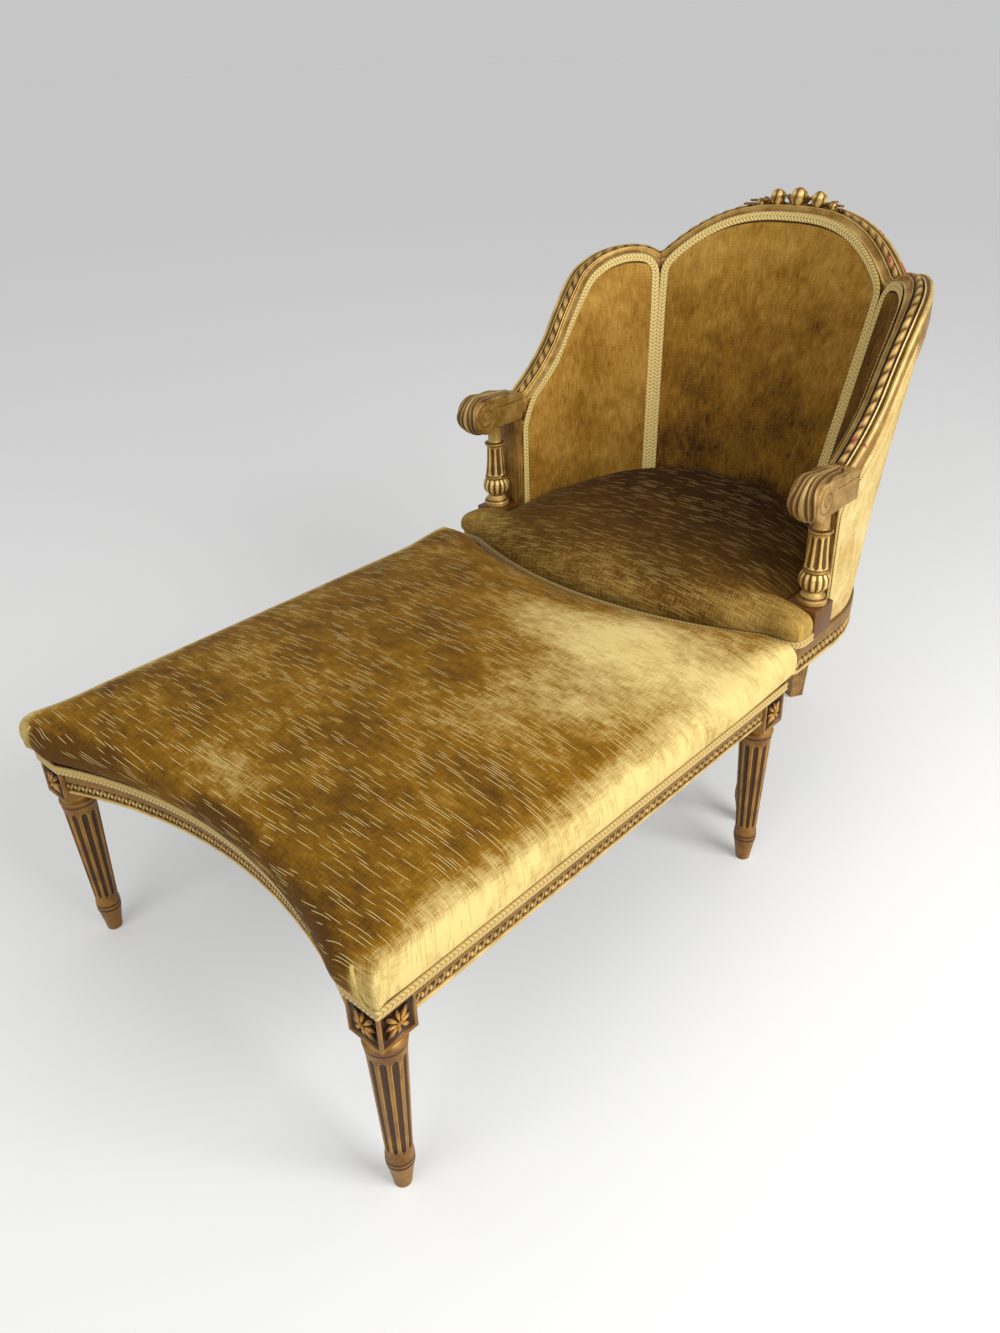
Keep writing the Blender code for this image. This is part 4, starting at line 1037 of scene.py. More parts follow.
@dataclass
class TurnedLeg(SubAssembly):
    """A square block over a turned, fluted and tapered leg, with a rosette on its outer faces."""

    x: float = 0.0
    y: float = 0.0
    leg_height: float = 0.238
    block_side: float = 0.048
    block_top: float = 0.286
    flutes: int = 10
    outer_x: int = 1
    outer_y: int = -1
    top_radius: float = 0.0235
    foot_radius: float = 0.0148
    rosette_radius: float = 0.0165

    def radius(self, z: float, angle: float) -> tuple[float, float]:
        """Radius and relief of the turned part.

        Args:
            z: height.
            angle: angle round the axis.

        Returns:
            The radius and the relief.
        """
        share = z / self.leg_height
        profile = ((0.0, 0.0096), (0.008, 0.0102), (0.060, 0.0118), (0.115, 0.0140), (0.145, 0.0152),
                   (0.158, 0.0160), (0.166, 0.0152), (0.172, 0.0160), (0.184, 0.0163), (0.192, 0.0154),
                   (0.200, 0.0160), (0.215, 0.0158), (0.228, 0.0150), (0.250, 0.0150),
                   (0.895, 0.0214), (0.912, 0.0222), (0.926, 0.0224), (0.931, 0.0214), (0.936, 0.0226),
                   (0.944, 0.0234), (0.956, 0.0234), (0.962, 0.0222), (0.966, 0.0176), (0.975, 0.0166),
                   (1.0, 0.0170), (1.1, 0.0170))
        radius = straight_line(profile, share)
        relief = 0.66
        low, high = 0.262, 0.880
        if low < share < high:
            reach = 0.026 * self.leg_height / 0.215
            ends = min(share - low, high - share)
            cap = math.sqrt(clamp(1 - (1 - clamp(ends / reach)) ** 2))
            wave = abs((angle * self.flutes / TURN) % 1.0 - 0.5) * 2
            open_share = 0.62 * cap
            depth = math.sqrt(clamp(1 - (wave / open_share) ** 2)) if open_share > 0.05 else 0.0
            radius -= 0.0036 * depth * radius / self.top_radius
            rim = hump(wave - open_share - 0.08, 0.09)
            relief = 0.66 + 0.22 * rim - 0.42 * clamp(depth * 1.2)
        elif share > 0.962:
            relief = 0.90
        for groove in (0.165, 0.192, 0.931):
            relief -= 0.45 * hump(share - groove, 0.005)
        return radius, relief

    def heights(self) -> list[float]:
        """Ring heights, closer together where the turning is finer."""
        shares = [0.0, 0.004]
        while shares[-1] < 1.02:
            share = shares[-1]
            fine = share < 0.30 or share > 0.82
            shares.append(share + (0.0055 if fine else 0.018))
        return [share * self.leg_height for share in shares]

    def rosette(self, centre: Vector, out: Vector, across: Vector) -> BMesh:
        """An eight-petalled flower with a button at its heart.

        Args:
            centre: the middle of its bed.
            out: the direction it faces.
            across: a direction in its bed.

        Returns:
            The closed mesh.
        """
        up = out.cross(across)

        def place(u: float, v: float) -> Spot:
            angle = TURN * u
            petal = abs(math.cos(4 * angle))
            corner = 1 + 0.22 * abs(math.sin(2 * angle)) ** 3
            reach = self.rosette_radius * corner * (0.52 + 0.48 * petal**1.6)
            radius = reach * v
            height = 0.0050 * math.sin(math.pi * clamp(0.10 + 0.86 * v)) ** 0.7 * (0.12 + 0.88 * petal**1.2)
            height += 0.0034 * hump(v, 0.17)
            crease = hump(petal - 1.0, 0.05) * ease(0.25, 0.6, v)
            relief = 0.12 + 1.0 * height / 0.0050 - 0.35 * crease - 0.5 * hump(v - 0.24, 0.05)
            point = centre + across * (radius * math.cos(angle)) + up * (radius * math.sin(angle))
            return Spot(point + out * (height - 0.0008 * crease), clamp(relief))

        return closed(sheet(80, 14, place))

    def block(self) -> BMesh:
        """The square block, its two outer faces sunk inside a raised border."""
        bm = bmesh.new()
        relief = bm.verts.layers.float.new("relief")
        bm.verts.layers.float.new("tone")
        bmesh.ops.create_cube(bm, size=1.0)
        tall = self.block_top - self.leg_height
        bmesh.ops.scale(bm, vec=(self.block_side, self.block_side, tall), verts=bm.verts)
        middle = Vector((self.x, self.y, self.leg_height + tall / 2))
        bmesh.ops.translate(bm, vec=middle, verts=bm.verts)
        for vert in bm.verts:
            vert[relief] = 0.68
        bmesh.ops.bevel(bm, geom=list(bm.edges), offset=0.8 * MM, segments=2, profile=0.5,
                        affect="EDGES", material=-1)
        faces = [face for face in bm.faces if face.calc_area() > 0.8 * self.block_side * tall * 0.9
                 and (face.normal.x * self.outer_x > 0.9 or face.normal.y * self.outer_y > 0.9)]
        for face in faces:
            bmesh.ops.inset_individual(bm, faces=[face], thickness=3.6 * MM, depth=0.0)
            bmesh.ops.inset_individual(bm, faces=[face], thickness=0.5 * MM, depth=-1.0 * MM)
            bmesh.ops.inset_individual(bm, faces=[face], thickness=0.8 * MM, depth=-2.2 * MM)
            for vert in face.verts:
                vert[relief] = 0.22
        return face_out(bm)

    def build(self, name: str, replaced: Sequence[str], parts: Sequence[BMesh] = ()) -> None:
        """Build and dress the leg.

        Args:
            name: its name.
            replaced: the CAD nodes it stands for.
            parts: plain blocks that stand over it instead of the carved one.
        """
        shaft = turned(self.heights(), self.radius, 120, self.x, self.y)
        if parts:
            self.piece(name, shaft, self.finishes.leg, Slot.LEG, replaced)
            self.piece(name + "_block", joined(parts), self.finishes.leg, Slot.LEG)
            return
        middle = Vector((self.x, self.y, (self.leg_height + self.block_top) / 2))
        half = self.block_side / 2 - 3.0 * MM
        flowers = []
        for out in (Vector((self.outer_x, 0, 0)), Vector((0, self.outer_y, 0))):
            across = Vector((0, 0, 1)).cross(out)
            flowers.append(self.rosette(middle + out * half, out, across))
        self.piece(name, joined([shaft, *flowers]), self.finishes.leg, Slot.LEG, replaced)
        self.piece(name + "_block", self.block(), self.finishes.leg, Slot.LEG)


@dataclass
class CarvedRail(SubAssembly):
    """A seat rail: plain upper fillet, a strip of leaves and beads, and a lower bead."""

    height: float = 0.0495
    thickness: float = 0.022
    leaf_pitch: float = 0.0115

    def section(self, share: float, along: float) -> tuple[float, float, float, float]:
        """The rail's section, outer face to the right.

        Args:
            share: place round the section.
            along: metres along the rail.

        Returns:
            Right, up, relief and wear.
        """
        half, tall = self.thickness / 2, self.height
        front = 0.72
        if share > front:
            t = (share - front) / (1 - front)
            corners = ((0.0, half), (0.18, -half), (0.82, -half), (1.0, half))
            x = straight_line(corners, t)
            z = straight_line(((0.0, tall), (0.18, tall), (0.82, 0.0), (1.0, 0.0)), t)
            return x, z, 0.45, 0.0
        v = share / front
        bead, low, high, lip = 0.17, 0.21, 0.53, 0.57
        x, relief = half, 0.50
        if v < bead:
            x -= 1.6 * MM * (1 - math.sin(math.pi * clamp(v / bead)) ** 0.7)
            relief = 0.55 + 0.30 * math.sin(math.pi * v / bead)
        elif v < low or high < v < lip:
            x, relief = half - 3.0 * MM, 0.12
        elif v <= high:
            t = (v - low) / (high - low) * 2 - 1
            x, relief = self.carving(t, along)
        elif v < lip + 0.05:
            t = (v - lip) / 0.05
            x -= 1.2 * MM * (1 - math.sin(math.pi / 2 * t))
            relief = 0.8
        elif v > 0.97:
            x -= 0.8 * MM * ease(0.97, 1.0, v)
        return x, v * tall, relief, 0.0

    def carving(self, t: float, along: float) -> tuple[float, float]:
        """The carved strip: pointed leaves with a bead between each pair.

        Args:
            t: place across the strip, -1 to 1.
            along: metres along it.

        Returns:
            How far right the surface stands, and its relief.
        """
        phase = (along / self.leaf_pitch) % 1.0 - 0.5
        slant = phase - 0.22 * t
        leaf = clamp(1 - abs(slant) / 0.30 - 0.35 * t * t) ** 0.55
        vein = 0.35 * hump(slant, 0.05) * (1 - abs(t))
        bead = clamp(1 - math.hypot((abs(phase) - 0.5) * 3.6, t * 1.15) ** 2) ** 0.5
        rise = max(leaf - vein, 0.92 * bead)
        floor = self.thickness / 2 - 3.4 * MM
        return floor + 3.6 * MM * rise, 0.04 + 0.96 * rise**1.4

    def build(self, name: str, points: Sequence[Vector], replaced: Sequence[str]) -> None:
        """Build and dress a rail.

        Args:
            name: its name.
            points: its middle line along its bottom.
            replaced: the CAD nodes it stands for.
        """
        bm = moulded(stations(resampled(points, 1.0 * MM)), 62, self.section)
        self.piece(name, bm, self.finishes.gilt, Slot.GILT, replaced)


def resampled(points: Sequence[Vector], step: float) -> list[Vector]:
    """The same path with even steps.

    Args:
        points: the path.
        step: the length wanted for a step.

    Returns:
        Its new points, both ends kept.
    """
    lengths = [(b - a).length for a, b in zip(points, points[1:])]
    total = sum(lengths)
    count = max(2, round(total / step))
    found, i, before = [], 0, 0.0
    for k in range(count + 1):
        target = total * k / count
        while i < len(lengths) - 1 and before + lengths[i] < target:
            before += lengths[i]
            i += 1
        share = clamp((target - before) / lengths[i])
        found.append(points[i].lerp(points[i + 1], share))
    return found


@dataclass
class Ribbon(SubAssembly):
    """A flat plaited braid laid along a path."""

    width: float = 0.012
    thickness: float = 0.0016
    pitch: float = 0.0058
    chevron: float = 0.9

    def build(self, name: str, spots: Sequence[tuple[Vector, Vector, Vector]], material: Material,
              replaced: Sequence[str] = (), loop: bool = False) -> Piece:
        """Build and dress a braid.

        Args:
            name: its name.
            spots: for each place the braid's middle, the direction across it and its outward side.
            material: its finish.
            replaced: the CAD nodes it stands for.
            loop: whether its ends meet.

        Returns:
            The object.
        """
        lengths = [0.0]
        for a, b in zip(spots, spots[1:]):
            lengths.append(lengths[-1] + (b[0] - a[0]).length)
        last = len(spots) - 1
        repeats = max(1, round(lengths[-1] / self.pitch))
        pitch = lengths[-1] / repeats
        front = 0.86

        def place(u: float, v: float) -> Spot:
            i = round(u * last)
            middle, across, out = spots[0 if loop and i == last else i]
            v %= 1.0
            if v > front:
                t = (v - front) / (1 - front)
                side = 1 - 2 * ease(0, 1, t)
                return Spot(middle + across * (side * self.width / 2), 0.2)
            t = v / front * 2 - 1
            phase = (lengths[i] / pitch + self.chevron * abs(t)) % 1.0
            rib = math.sin(math.pi * phase) ** 0.7
            edge = math.sqrt(clamp(1 - abs(t) ** 6))
            spine = 1 - 0.55 * hump(t, 0.08)
            rise = rib * spine
            height = self.thickness * edge * (0.55 + 0.45 * rise)
            # This relief colours the braid: low in the gaps and at the edges as painted shade, high on the rib tops
            # as a painted highlight.
            return Spot(middle + across * (t * self.width / 2) + out * height, 0.15 + 0.85 * rise * edge)

        bm = sheet(last, 22, place)
        bm = face_out(bm) if loop else closed(bm)
        return self.piece(name, bm, material, Slot.BRAID, replaced)


@dataclass(frozen=True)
class CushionSide:
    """How a cushion's side bulges from its tacked edge to its top edge."""

    base: float
    overhang: float
    rise: float
    gimp: float = 0.0133
    tacked: float = 0.003
    shares: tuple[tuple[float, float], ...] = ((0.66, 0.06), (0.96, 0.26), (1.00, 0.52), (0.82, 0.78),
                                               (0.30, 1.00))

    def at(self, w: float) -> tuple[float, float]:
        """Offset and height for a share up the side.

        Args:
            w: from 0 at the tacks to 1 at the top edge.

        Returns:
            How far out, and the height.
        """
        clear = self.base + self.gimp
        rows = [(0.0, -self.tacked, self.base), (0.14, -self.tacked, clear)]
        rise = self.rise - self.gimp
        for i, (out, up) in enumerate(self.shares):
            rows.append((0.14 + 0.86 * (i + 1) / len(self.shares), out * self.overhang, clear + up * rise))
        return (smooth_line([(row[0], row[1]) for row in rows], w),
                smooth_line([(row[0], row[2]) for row in rows], w))


@dataclass
class StoolCushion(SubAssembly):
    """The footstool's stuffed seat, hollow at both ends."""

    side_face: float = 0.319
    front_face: float = -0.6223
    rear_face: float = 0.1152
    crown: float = 0.025
    edge_drop: float = 0.004
    flap: float = 0.026
    pale_spots: tuple[tuple[float, float, float, float, float], ...] = (
        (0.21, -0.03, 0.15, 0.11, 0.50), (0.06, -0.07, 0.12, 0.06, 0.24), (0.20, -0.20, 0.09, 0.12, 0.22),
        (0.14, -0.30, 0.05, 0.05, 0.20), (-0.18, -0.39, 0.05, 0.05, 0.16), (-0.06, -0.38, 0.05, 0.04, 0.14),
        (0.0, -0.545, 0.10, 0.05, 0.16))
    rear_lift: float = 0.10
    side: CushionSide = CushionSide(0.2876, 0.0175, 0.063)

    def plan(self, u: float, v: float, out: float) -> tuple[float, float]:
        """Plan place on the footstool's outline.

        Args:
            u: share across, -1 to 1.
            v: share along, -1 to 1.
            out: metres outside the blocks.

        Returns:
            X and Y.
        """
        x = u * (self.side_face + out)
        front = self.front_face - out + STOOL_ARC.at(x)
        rear = self.rear_face + 0.65 * out - STOOL_ARC.at(x)
        return x, front + (rear - front) * (v + 1) / 2

    def place(self, share: Vector) -> Spot:
        """The spot of a corner of the stuffed form."""
        u, v, w = share
        out, z = self.side.at((w + 1) / 2)
        x, y = self.plan(u, v, out)
        pull = (abs(u) * abs(v)) ** 10 * self.side.overhang * 0.12
        x -= math.copysign(pull, u)
        y -= math.copysign(pull, v)
        tone = self.tone(x, y, u, v, w)
        if w > 0.999:
            z += self.crown * (1 - abs(u) ** 2.6) * (1 - abs(v) ** 2.6)
            z += self.edge_drop * (1 - abs(u) ** 9) * (1 - abs(v) ** 10)
            z += 0.8 * MM * ripple(x, y) * (1 - u * u) * (1 - v * v)
        z += self.rear_lift * (z - self.side.base) * ease(0.60, 1.0, v)
        return Spot(Vector((x, y, z)), 1.0 if w < -0.7 else 0.0, tone)

    def tone(self, x: float, y: float, u: float, v: float, w: float) -> float:
        """How pale the pile is drawn: amber on top with listed pale patches, painted dark on the hollow ends as
        shade, and painted pale down the long sides as light on lit faces.

        Args:
            x: place in metres.
            y: place in metres.
            u: share across, -1 to 1.
            v: share along, -1 to 1.
            w: share up, -1 to 1.

        Returns:
            The tone.
        """
        if w < 0.999:
            # Painted light: the long sides take a pale tone as lit faces.
            if abs(u) > 0.999:
                return 0.84
            # Painted shade: the hollow ends take a dark tone, pale only where the long sides' cloth folds round the
            # corners.
            flap = ease(self.side_face - self.flap, self.side_face - self.flap + 0.012, abs(x))
            middle = 0.22 * hump(x + 0.10, 0.07)
            return 0.14 + 0.54 * flap + middle
        pale = sum(depth * hump(math.hypot((x - across) / wide, (y - along) / long), 1.0)
                   for across, along, wide, long, depth in self.pale_spots)
        rim = 0.34 * ease(0.88, 1.0, abs(u)) + 0.24 * ease(-0.94, -1.0, u)
        return 0.31 + pale + rim

    def lay(self, share: Vector, axis: int) -> tuple[float, float]:
        """The cloth's own place: the slubs run across the top and down the long sides."""
        u, v, w = share
        x, y = self.plan(u, v, 0.0)
        drop = (1 - w) / 2 * self.side.rise * 1.15
        if axis == 0:
            return math.copysign(abs(x) + drop, u), y
        if axis == 1:
            return x, y + math.copysign(drop, v)
        return x, y

    def build(self) -> None:
        """Build and dress the cushion."""
        obj = self.piece("footstool_seat", block((64, 76, 9), self.place, self.lay),
                         self.finishes.stool_velvet, Slot.VELVET, ["footstool_cushion"])
        inflate(obj, 6.0)
        self.pleats(obj)

    def pleats(self, obj: Piece) -> None:
        """Add the rolled edge where the long side's cloth is folded round each corner.

        Args:
            obj: the stuffed cushion.
        """
        tree = BVHTree.FromPolygons([vert.co for vert in obj.data.vertices],
                                    [face.vertices for face in obj.data.polygons])
        whole = bmesh.new()
        whole.from_mesh(obj.data)
        parts = [whole]
        for hand in Hand:
            for end in (-1, 1):
                points = []
                for i in range(25):
                    share = i / 24
                    u = hand.value * (1 - (self.flap / self.side_face) * math.cos(math.pi / 2 * share) ** 0.8)
                    w = 0.94 - 1.62 * share
                    guess = self.place(Vector((u, end, w))).point
                    near, normal, _, _ = tree.find_nearest(guess)
                    points.append(near + normal * 0.4 * MM)
                path = stations(points)

                def section(share: float, along: float) -> tuple[float, float, float, float]:
                    turn = TURN * share
                    # The roll takes a pale tone, the same painted light as the long sides.
                    return 2.4 * MM * math.cos(turn), 1.8 * MM * math.sin(turn), 0.0, 0.74

                parts.append(moulded(path, 12, section))
        bm = joined(parts)
        for face in bm.faces:
            face.smooth = True
        bm.to_mesh(obj.data)
        bm.free()


@dataclass
class Footstool(SubAssembly):
    """The long footstool: four legs, four rails, gimp and cushion."""

    leg_x: float = 0.295
    leg_ys: tuple[float, float] = (-0.5983, 0.0912)
    block_side: float = 0.048
    rail_bottom: float = 0.2545
    rail_height: float = 0.0315
    rail_inset: float = 0.0145
    gimp_z: float = 0.2928
    gap: float = 0.0003

    def rails(self) -> None:
        """Two straight side rails and two hollowed end rails."""
        rail = CarvedRail(self.finishes, self.body, height=self.rail_height)
        half = self.block_side / 2
        x = self.leg_x + half - self.rail_inset
        low, high = self.leg_ys[0] + half + self.gap, self.leg_ys[1] - half - self.gap
        right = [Vector((x, low, self.rail_bottom)), Vector((x, high, self.rail_bottom))]
        left = [Vector((-point.x, point.y, point.z)) for point in reversed(right)]
        rail.build("footstool_rail_right", right, ["footstool_side_rail_right"])
        rail.build("footstool_rail_left", left, ["footstool_side_rail_left"])
        reach = self.leg_x - half - self.gap
        for word, y, sign in (("front", self.leg_ys[0] - half, 1), ("rear", self.leg_ys[1] + half, -1)):
            points = []
            for i in range(81):
                place = reach * (i / 40 - 1)
                points.append(Vector((sign * place, y + sign * (self.rail_inset + STOOL_ARC.at(place)),
                                      self.rail_bottom)))
            rail.build(f"footstool_end_{word}", points, [f"footstool_end_rail_{word}"])

    def legs(self) -> None:
        """The four turned legs."""
        for row, (word, y) in enumerate(zip(("front", "rear"), self.leg_ys)):
            for hand in Hand:
                leg = TurnedLeg(self.finishes, self.body, x=hand.value * self.leg_x, y=y,
                                outer_x=hand.value, outer_y=-1 if row == 0 else 1)
                leg.build(f"footstool_turned_{word}_{hand.word}", [f"footstool_leg_{word}_{hand.word}"])

    def gimp(self) -> None:
        """The braid that hides the tacks right round the seat's lower edge."""
        half = self.leg_x + self.block_side / 2 + self.gap
        low = self.leg_ys[0] - self.block_side / 2 - self.gap
        high = self.leg_ys[1] + self.block_side / 2 + self.gap
        corners = []
        for i in range(121):
            x = half * (i / 60 - 1)
            corners.append(Vector((x, low + STOOL_ARC.at(x), self.gimp_z)))
        for i in range(121):
            x = -half * (i / 60 - 1)
            corners.append(Vector((x, high - STOOL_ARC.at(x), self.gimp_z)))
        corners.append(corners[0].copy())
        spots = upright_spots(resampled(corners, 1.1 * MM), loop=True)
        Ribbon(self.finishes, self.body, width=0.013, thickness=0.0028).build(
            "footstool_braid", spots, self.finishes.gimp, ["footstool_gimp"], loop=True)

    def build(self) -> None:
        """Build and dress the footstool."""
        self.rails()
        self.legs()
        self.gimp()
        StoolCushion(self.finishes, self.body).build()


def upright_spots(points: Sequence[Vector], loop: bool = False) -> list[tuple[Vector, Vector, Vector]]:
    """Places for a braid that stands on edge, with its outside to the right of travel.

    Args:
        points: its middle line.
        loop: whether the ends meet.

    Returns:
        Middle, direction across and outward side for each point.
    """
    found, last = [], len(points) - 1
    for i, point in enumerate(points):
        ahead = points[i + 1] if i < last else points[1] if loop else points[i]
        behind = points[i - 1] if i else points[last - 1] if loop else points[i]
        travel = (ahead - behind).normalized()
        found.append((point, Vector((0, 0, 1)), travel.cross(Vector((0, 0, 1))).normalized()))
    return found


@dataclass
class TopRail(SubAssembly):
    """The carved rail over a wing or the back: rope in a channel, cove inside, plain outside."""

    rope_pitch: float = 0.0205
    rope_radius: float = 0.0050
    rope_middle: float = 0.0010

    def outline(self) -> list[tuple[float, float]]:
        """Corners of the section, clockwise from the inner foot: (out, up) from the top line."""
        cove = []
        for i in range(9):
            turn = math.radians(90 * i / 8)
            cove.append((-0.0078 - 0.0087 * (1 - math.sin(turn)), -0.0035 - 0.0060 * math.cos(turn)))
        return [(-0.0145, -0.0340), (-0.0145, -0.0222), (-0.0180, -0.0216), (-0.0180, -0.0108),
                (-0.0174, -0.0100), *cove,
                (-0.0077, -0.0014), (-0.0069, -0.0006), (-0.0061, -0.0010), (-0.0056, -0.0034),
                (0.0078, -0.0036), (0.0083, -0.0014), (0.0091, -0.0008), (0.0100, -0.0014),
                (0.0106, -0.0032), (0.0140, -0.0030), (0.0150, -0.0014), (0.0165, -0.0006),
                (0.0188, -0.0008), (0.0203, -0.0026), (0.0208, -0.0050), (0.0208, -0.0340)]

    def build_from(self, path: Sequence[Station], bole: Callable[[float], float]) -> BMesh:
        """The rail's mesh along a path.

        Args:
            path: its stations on the top line.
            bole: how strongly the red ground shows at metres along.

        Returns:
            The closed mesh.
        """
        outline = self.outline()
        around = 92
        table = [along_outline(outline, i / around) for i in range(around)]

        def section(share: float, along: float) -> tuple[float, float, float, float]:
            out, up, _, _ = table[round(share * around) % around]
            relief, wear = 0.60, 0.0
            across = (out - self.rope_middle) / self.rope_radius
            if abs(across) < 0.97 and up > -0.006:
                twist = math.asin(across) / math.pi
                phase = (along / self.rope_pitch - 0.85 * twist) % 1.0
                strand = math.sin(math.pi * phase) ** 0.30
                ball = math.sqrt(1 - across * across)
                up = -0.0036 + self.rope_radius * ball * (0.38 + 0.80 * strand)
                relief = clamp(0.92 * strand * (0.55 + 0.45 * ball) - 0.14)
                wear = bole(along) * 0.9
            elif -0.0062 < out < 0.0080 and up > -0.006:
                relief = 0.05
            elif out > 0.0155 and up > -0.006:
                relief, wear = 0.80, bole(along)
            elif out > 0.0105 and up > -0.0040:
                relief = 0.40
            elif out > 0.0215:
                relief = 0.34
            elif -0.0176 < out < -0.0078 and up < -0.0035:
                relief = 0.62 + 0.20 * hump(out + 0.0165, 0.0015)
            elif up > -0.0020:
                relief = 0.92
            return out, up, relief, wear

        return moulded(path, around, section)


@dataclass
class TopRails(SubAssembly):
    """Both wing rails and the crest rail."""

    gap: float = 0.0003
    level: float = 0.003

    def wing(self, hand: Hand) -> None:
        """Build one wing's rail.

        Args:
            hand: its side.
        """
        last = SHELL.wing_run - self.gap
        steps = 330
        points = []
        for i in range(steps + 1):
            run = last * i / steps
            points.append(SHELL.at(run, 0, SHELL.wing_top(clamp(run, self.level, last - self.level))))
        strength = 0.9 if hand is Hand.RIGHT else 0.2

        def bole(along: float) -> float:
            return strength * (0.86 + 0.34 * ease(0.14, 0.02, along))

        bm = TopRail(self.finishes).build_from(stations(points, level_ends=True), bole)
        self.piece(f"chair_rope_rail_{hand.word}", mirrored(bm, hand), self.finishes.gilt, Slot.GILT,
                   [f"chair_wing_rail_{hand.word}"])

    def crest(self) -> None:
        """Build the crest rail from the right valley to the left."""
        first = SHELL.wing_run + self.gap
        last = 2 * SHELL.half_run - first
        steps = 440
        points = []
        for i in range(steps + 1):
            run = first + (last - first) * i / steps
            inside = clamp(run, first + self.level, last - self.level)
            points.append(SHELL.at(run, 0, SHELL.crest_top(inside)))

        def bole(along: float) -> float:
            return 0.34 + 0.70 * ease(0.20, 0.06, along)

        bm = TopRail(self.finishes).build_from(stations(points, level_ends=True), bole)
        self.piece("chair_rope_crest", bm, self.finishes.gilt, Slot.GILT, ["chair_crest_rail"])

    def build(self) -> None:
        """Build and dress the three rails."""
        for hand in Hand:
            self.wing(hand)
        self.crest()


@dataclass
class CrestSpray(SubAssembly):
    """Three rosebuds among leaves, carved over the middle of the crest."""

    spacing: float = 0.035
    bud_size: float = 0.0132
    side_share: float = 0.90
    sink: float = 0.004

    def seat(self, x: float) -> tuple[Vector, Vector, Vector]:
        """The rail's top at x, the way along it and the way up.

        Args:
            x: place across the chair.

        Returns:
            The point and the two directions.
        """
        def point(across: float) -> Vector:
            run = SHELL.half_run - across
            return SHELL.at(run, 0, SHELL.crest_top(run))

        along = (point(x + MM) - point(x - MM)).normalized()
        front = along.cross(Vector((0, 0, 1))).normalized()
        return point(x), along, front.cross(along).normalized()

    def bud(self, x: float, size: float) -> BMesh:
        """A half-open rosebud: five folded petals round a closed heart.

        Args:
            x: place across the chair.
            size: its greatest radius.

        Returns:
            The closed mesh.
        """
        middle, along, up = self.seat(x)
        front = along.cross(up)
        base = middle - up * self.sink
        profile = ((0.0, 0.35), (0.15, 0.70), (0.42, 1.0), (0.66, 0.98), (0.82, 0.80), (0.93, 0.50), (1.0, 0.12))

        def place(u: float, v: float) -> Spot:
            angle = TURN * u
            petal = abs(math.cos(2.5 * angle + 1.4 * v))
            fold = ease(0.20, 0.65, v)
            radius = size * smooth_line(profile, v) * (1 - 0.20 * fold * (1 - petal**0.6))
            height = size * (2.15 * v + 0.16 * petal * fold * (1 - v))
            ring = 0.5 + 0.5 * math.cos(TURN * (2.2 * v + 0.4 * math.sin(angle)))
            relief = clamp(0.18 + 0.86 * petal**0.6 * (0.60 + 0.40 * ring))
            point = base + along * (radius * math.cos(angle)) + front * (radius * math.sin(angle)) + up * height
            return Spot(point, relief, 1.12 * ease(0.72, 0.95, v))

        return closed(sheet(60, 24, place))

    def leaf(self, x: float, length: float, width: float, tilt: float, lift: float) -> BMesh:
        """A small leaf that springs from the rail.

        Args:
            x: place of its root across the chair.
            length: its length, away from the middle.
            width: its greatest width.
            tilt: how far it turns to the front, in radians.
            lift: how far it rises, as a share of its length.

        Returns:
            The closed mesh.
        """
        root, along, up = self.seat(x)
        along = along * math.copysign(1.0, x)
        front = along.cross(up) * math.copysign(1.0, x)
        ahead = along * math.cos(tilt) + front * math.sin(tilt)
        across = ahead.cross(up).normalized()
        root = root + up * 0.8 * MM

        def place(u: float, v: float) -> Spot:
            t = v * 2 - 1
            notch = 1 - 0.16 * abs(math.sin(3 * math.pi * u))
            reach = width / 2 * math.sin(math.pi * clamp(0.06 + 0.93 * u)) ** 0.8 * notch
            rise = length * lift * math.sin(math.pi * 0.62 * u) + 1.6 * MM * (1 - abs(t)) - 1.2 * MM * t * t
            relief = clamp(0.40 + 0.45 * hump(t, 0.16) + 0.25 * math.cos(TURN * (3 * u - abs(t))))
            return Spot(root + ahead * (u * length) + across * (t * reach) + up * rise, relief)

        bm = sheet(20, 8, place)
        bmesh.ops.recalc_face_normals(bm, faces=bm.faces)
        bmesh.ops.solidify(bm, geom=bm.faces, thickness=1.3 * MM)
        return face_out(bm)

    def build(self) -> None:
        """Build and dress the spray."""
        parts = [self.bud(0.0, self.bud_size)]
        for side in (-1, 1):
            parts.append(self.bud(side * self.spacing, self.bud_size * self.side_share))
            parts.append(self.bud(side * self.spacing * 1.78, self.bud_size * 0.48))
            for share, length, width, tilt, lift in (
                    (0.30, 0.017, 0.010, 0.75, 0.75), (0.34, 0.016, 0.010, -0.75, 0.70),
                    (0.62, 0.016, 0.009, 0.55, 0.30), (1.22, 0.022, 0.012, 0.50, 0.32),
                    (1.24, 0.022, 0.012, -0.55, 0.34), (1.45, 0.030, 0.012, 0.02, 0.20),
                    (1.95, 0.022, 0.010, 0.20, 0.14)):
                parts.append(self.leaf(side * self.spacing * share, length, width, tilt, lift))
        self.piece("chair_rosebuds", joined(parts), self.finishes.gilt, Slot.GILT, ["chair_crest_spray"])


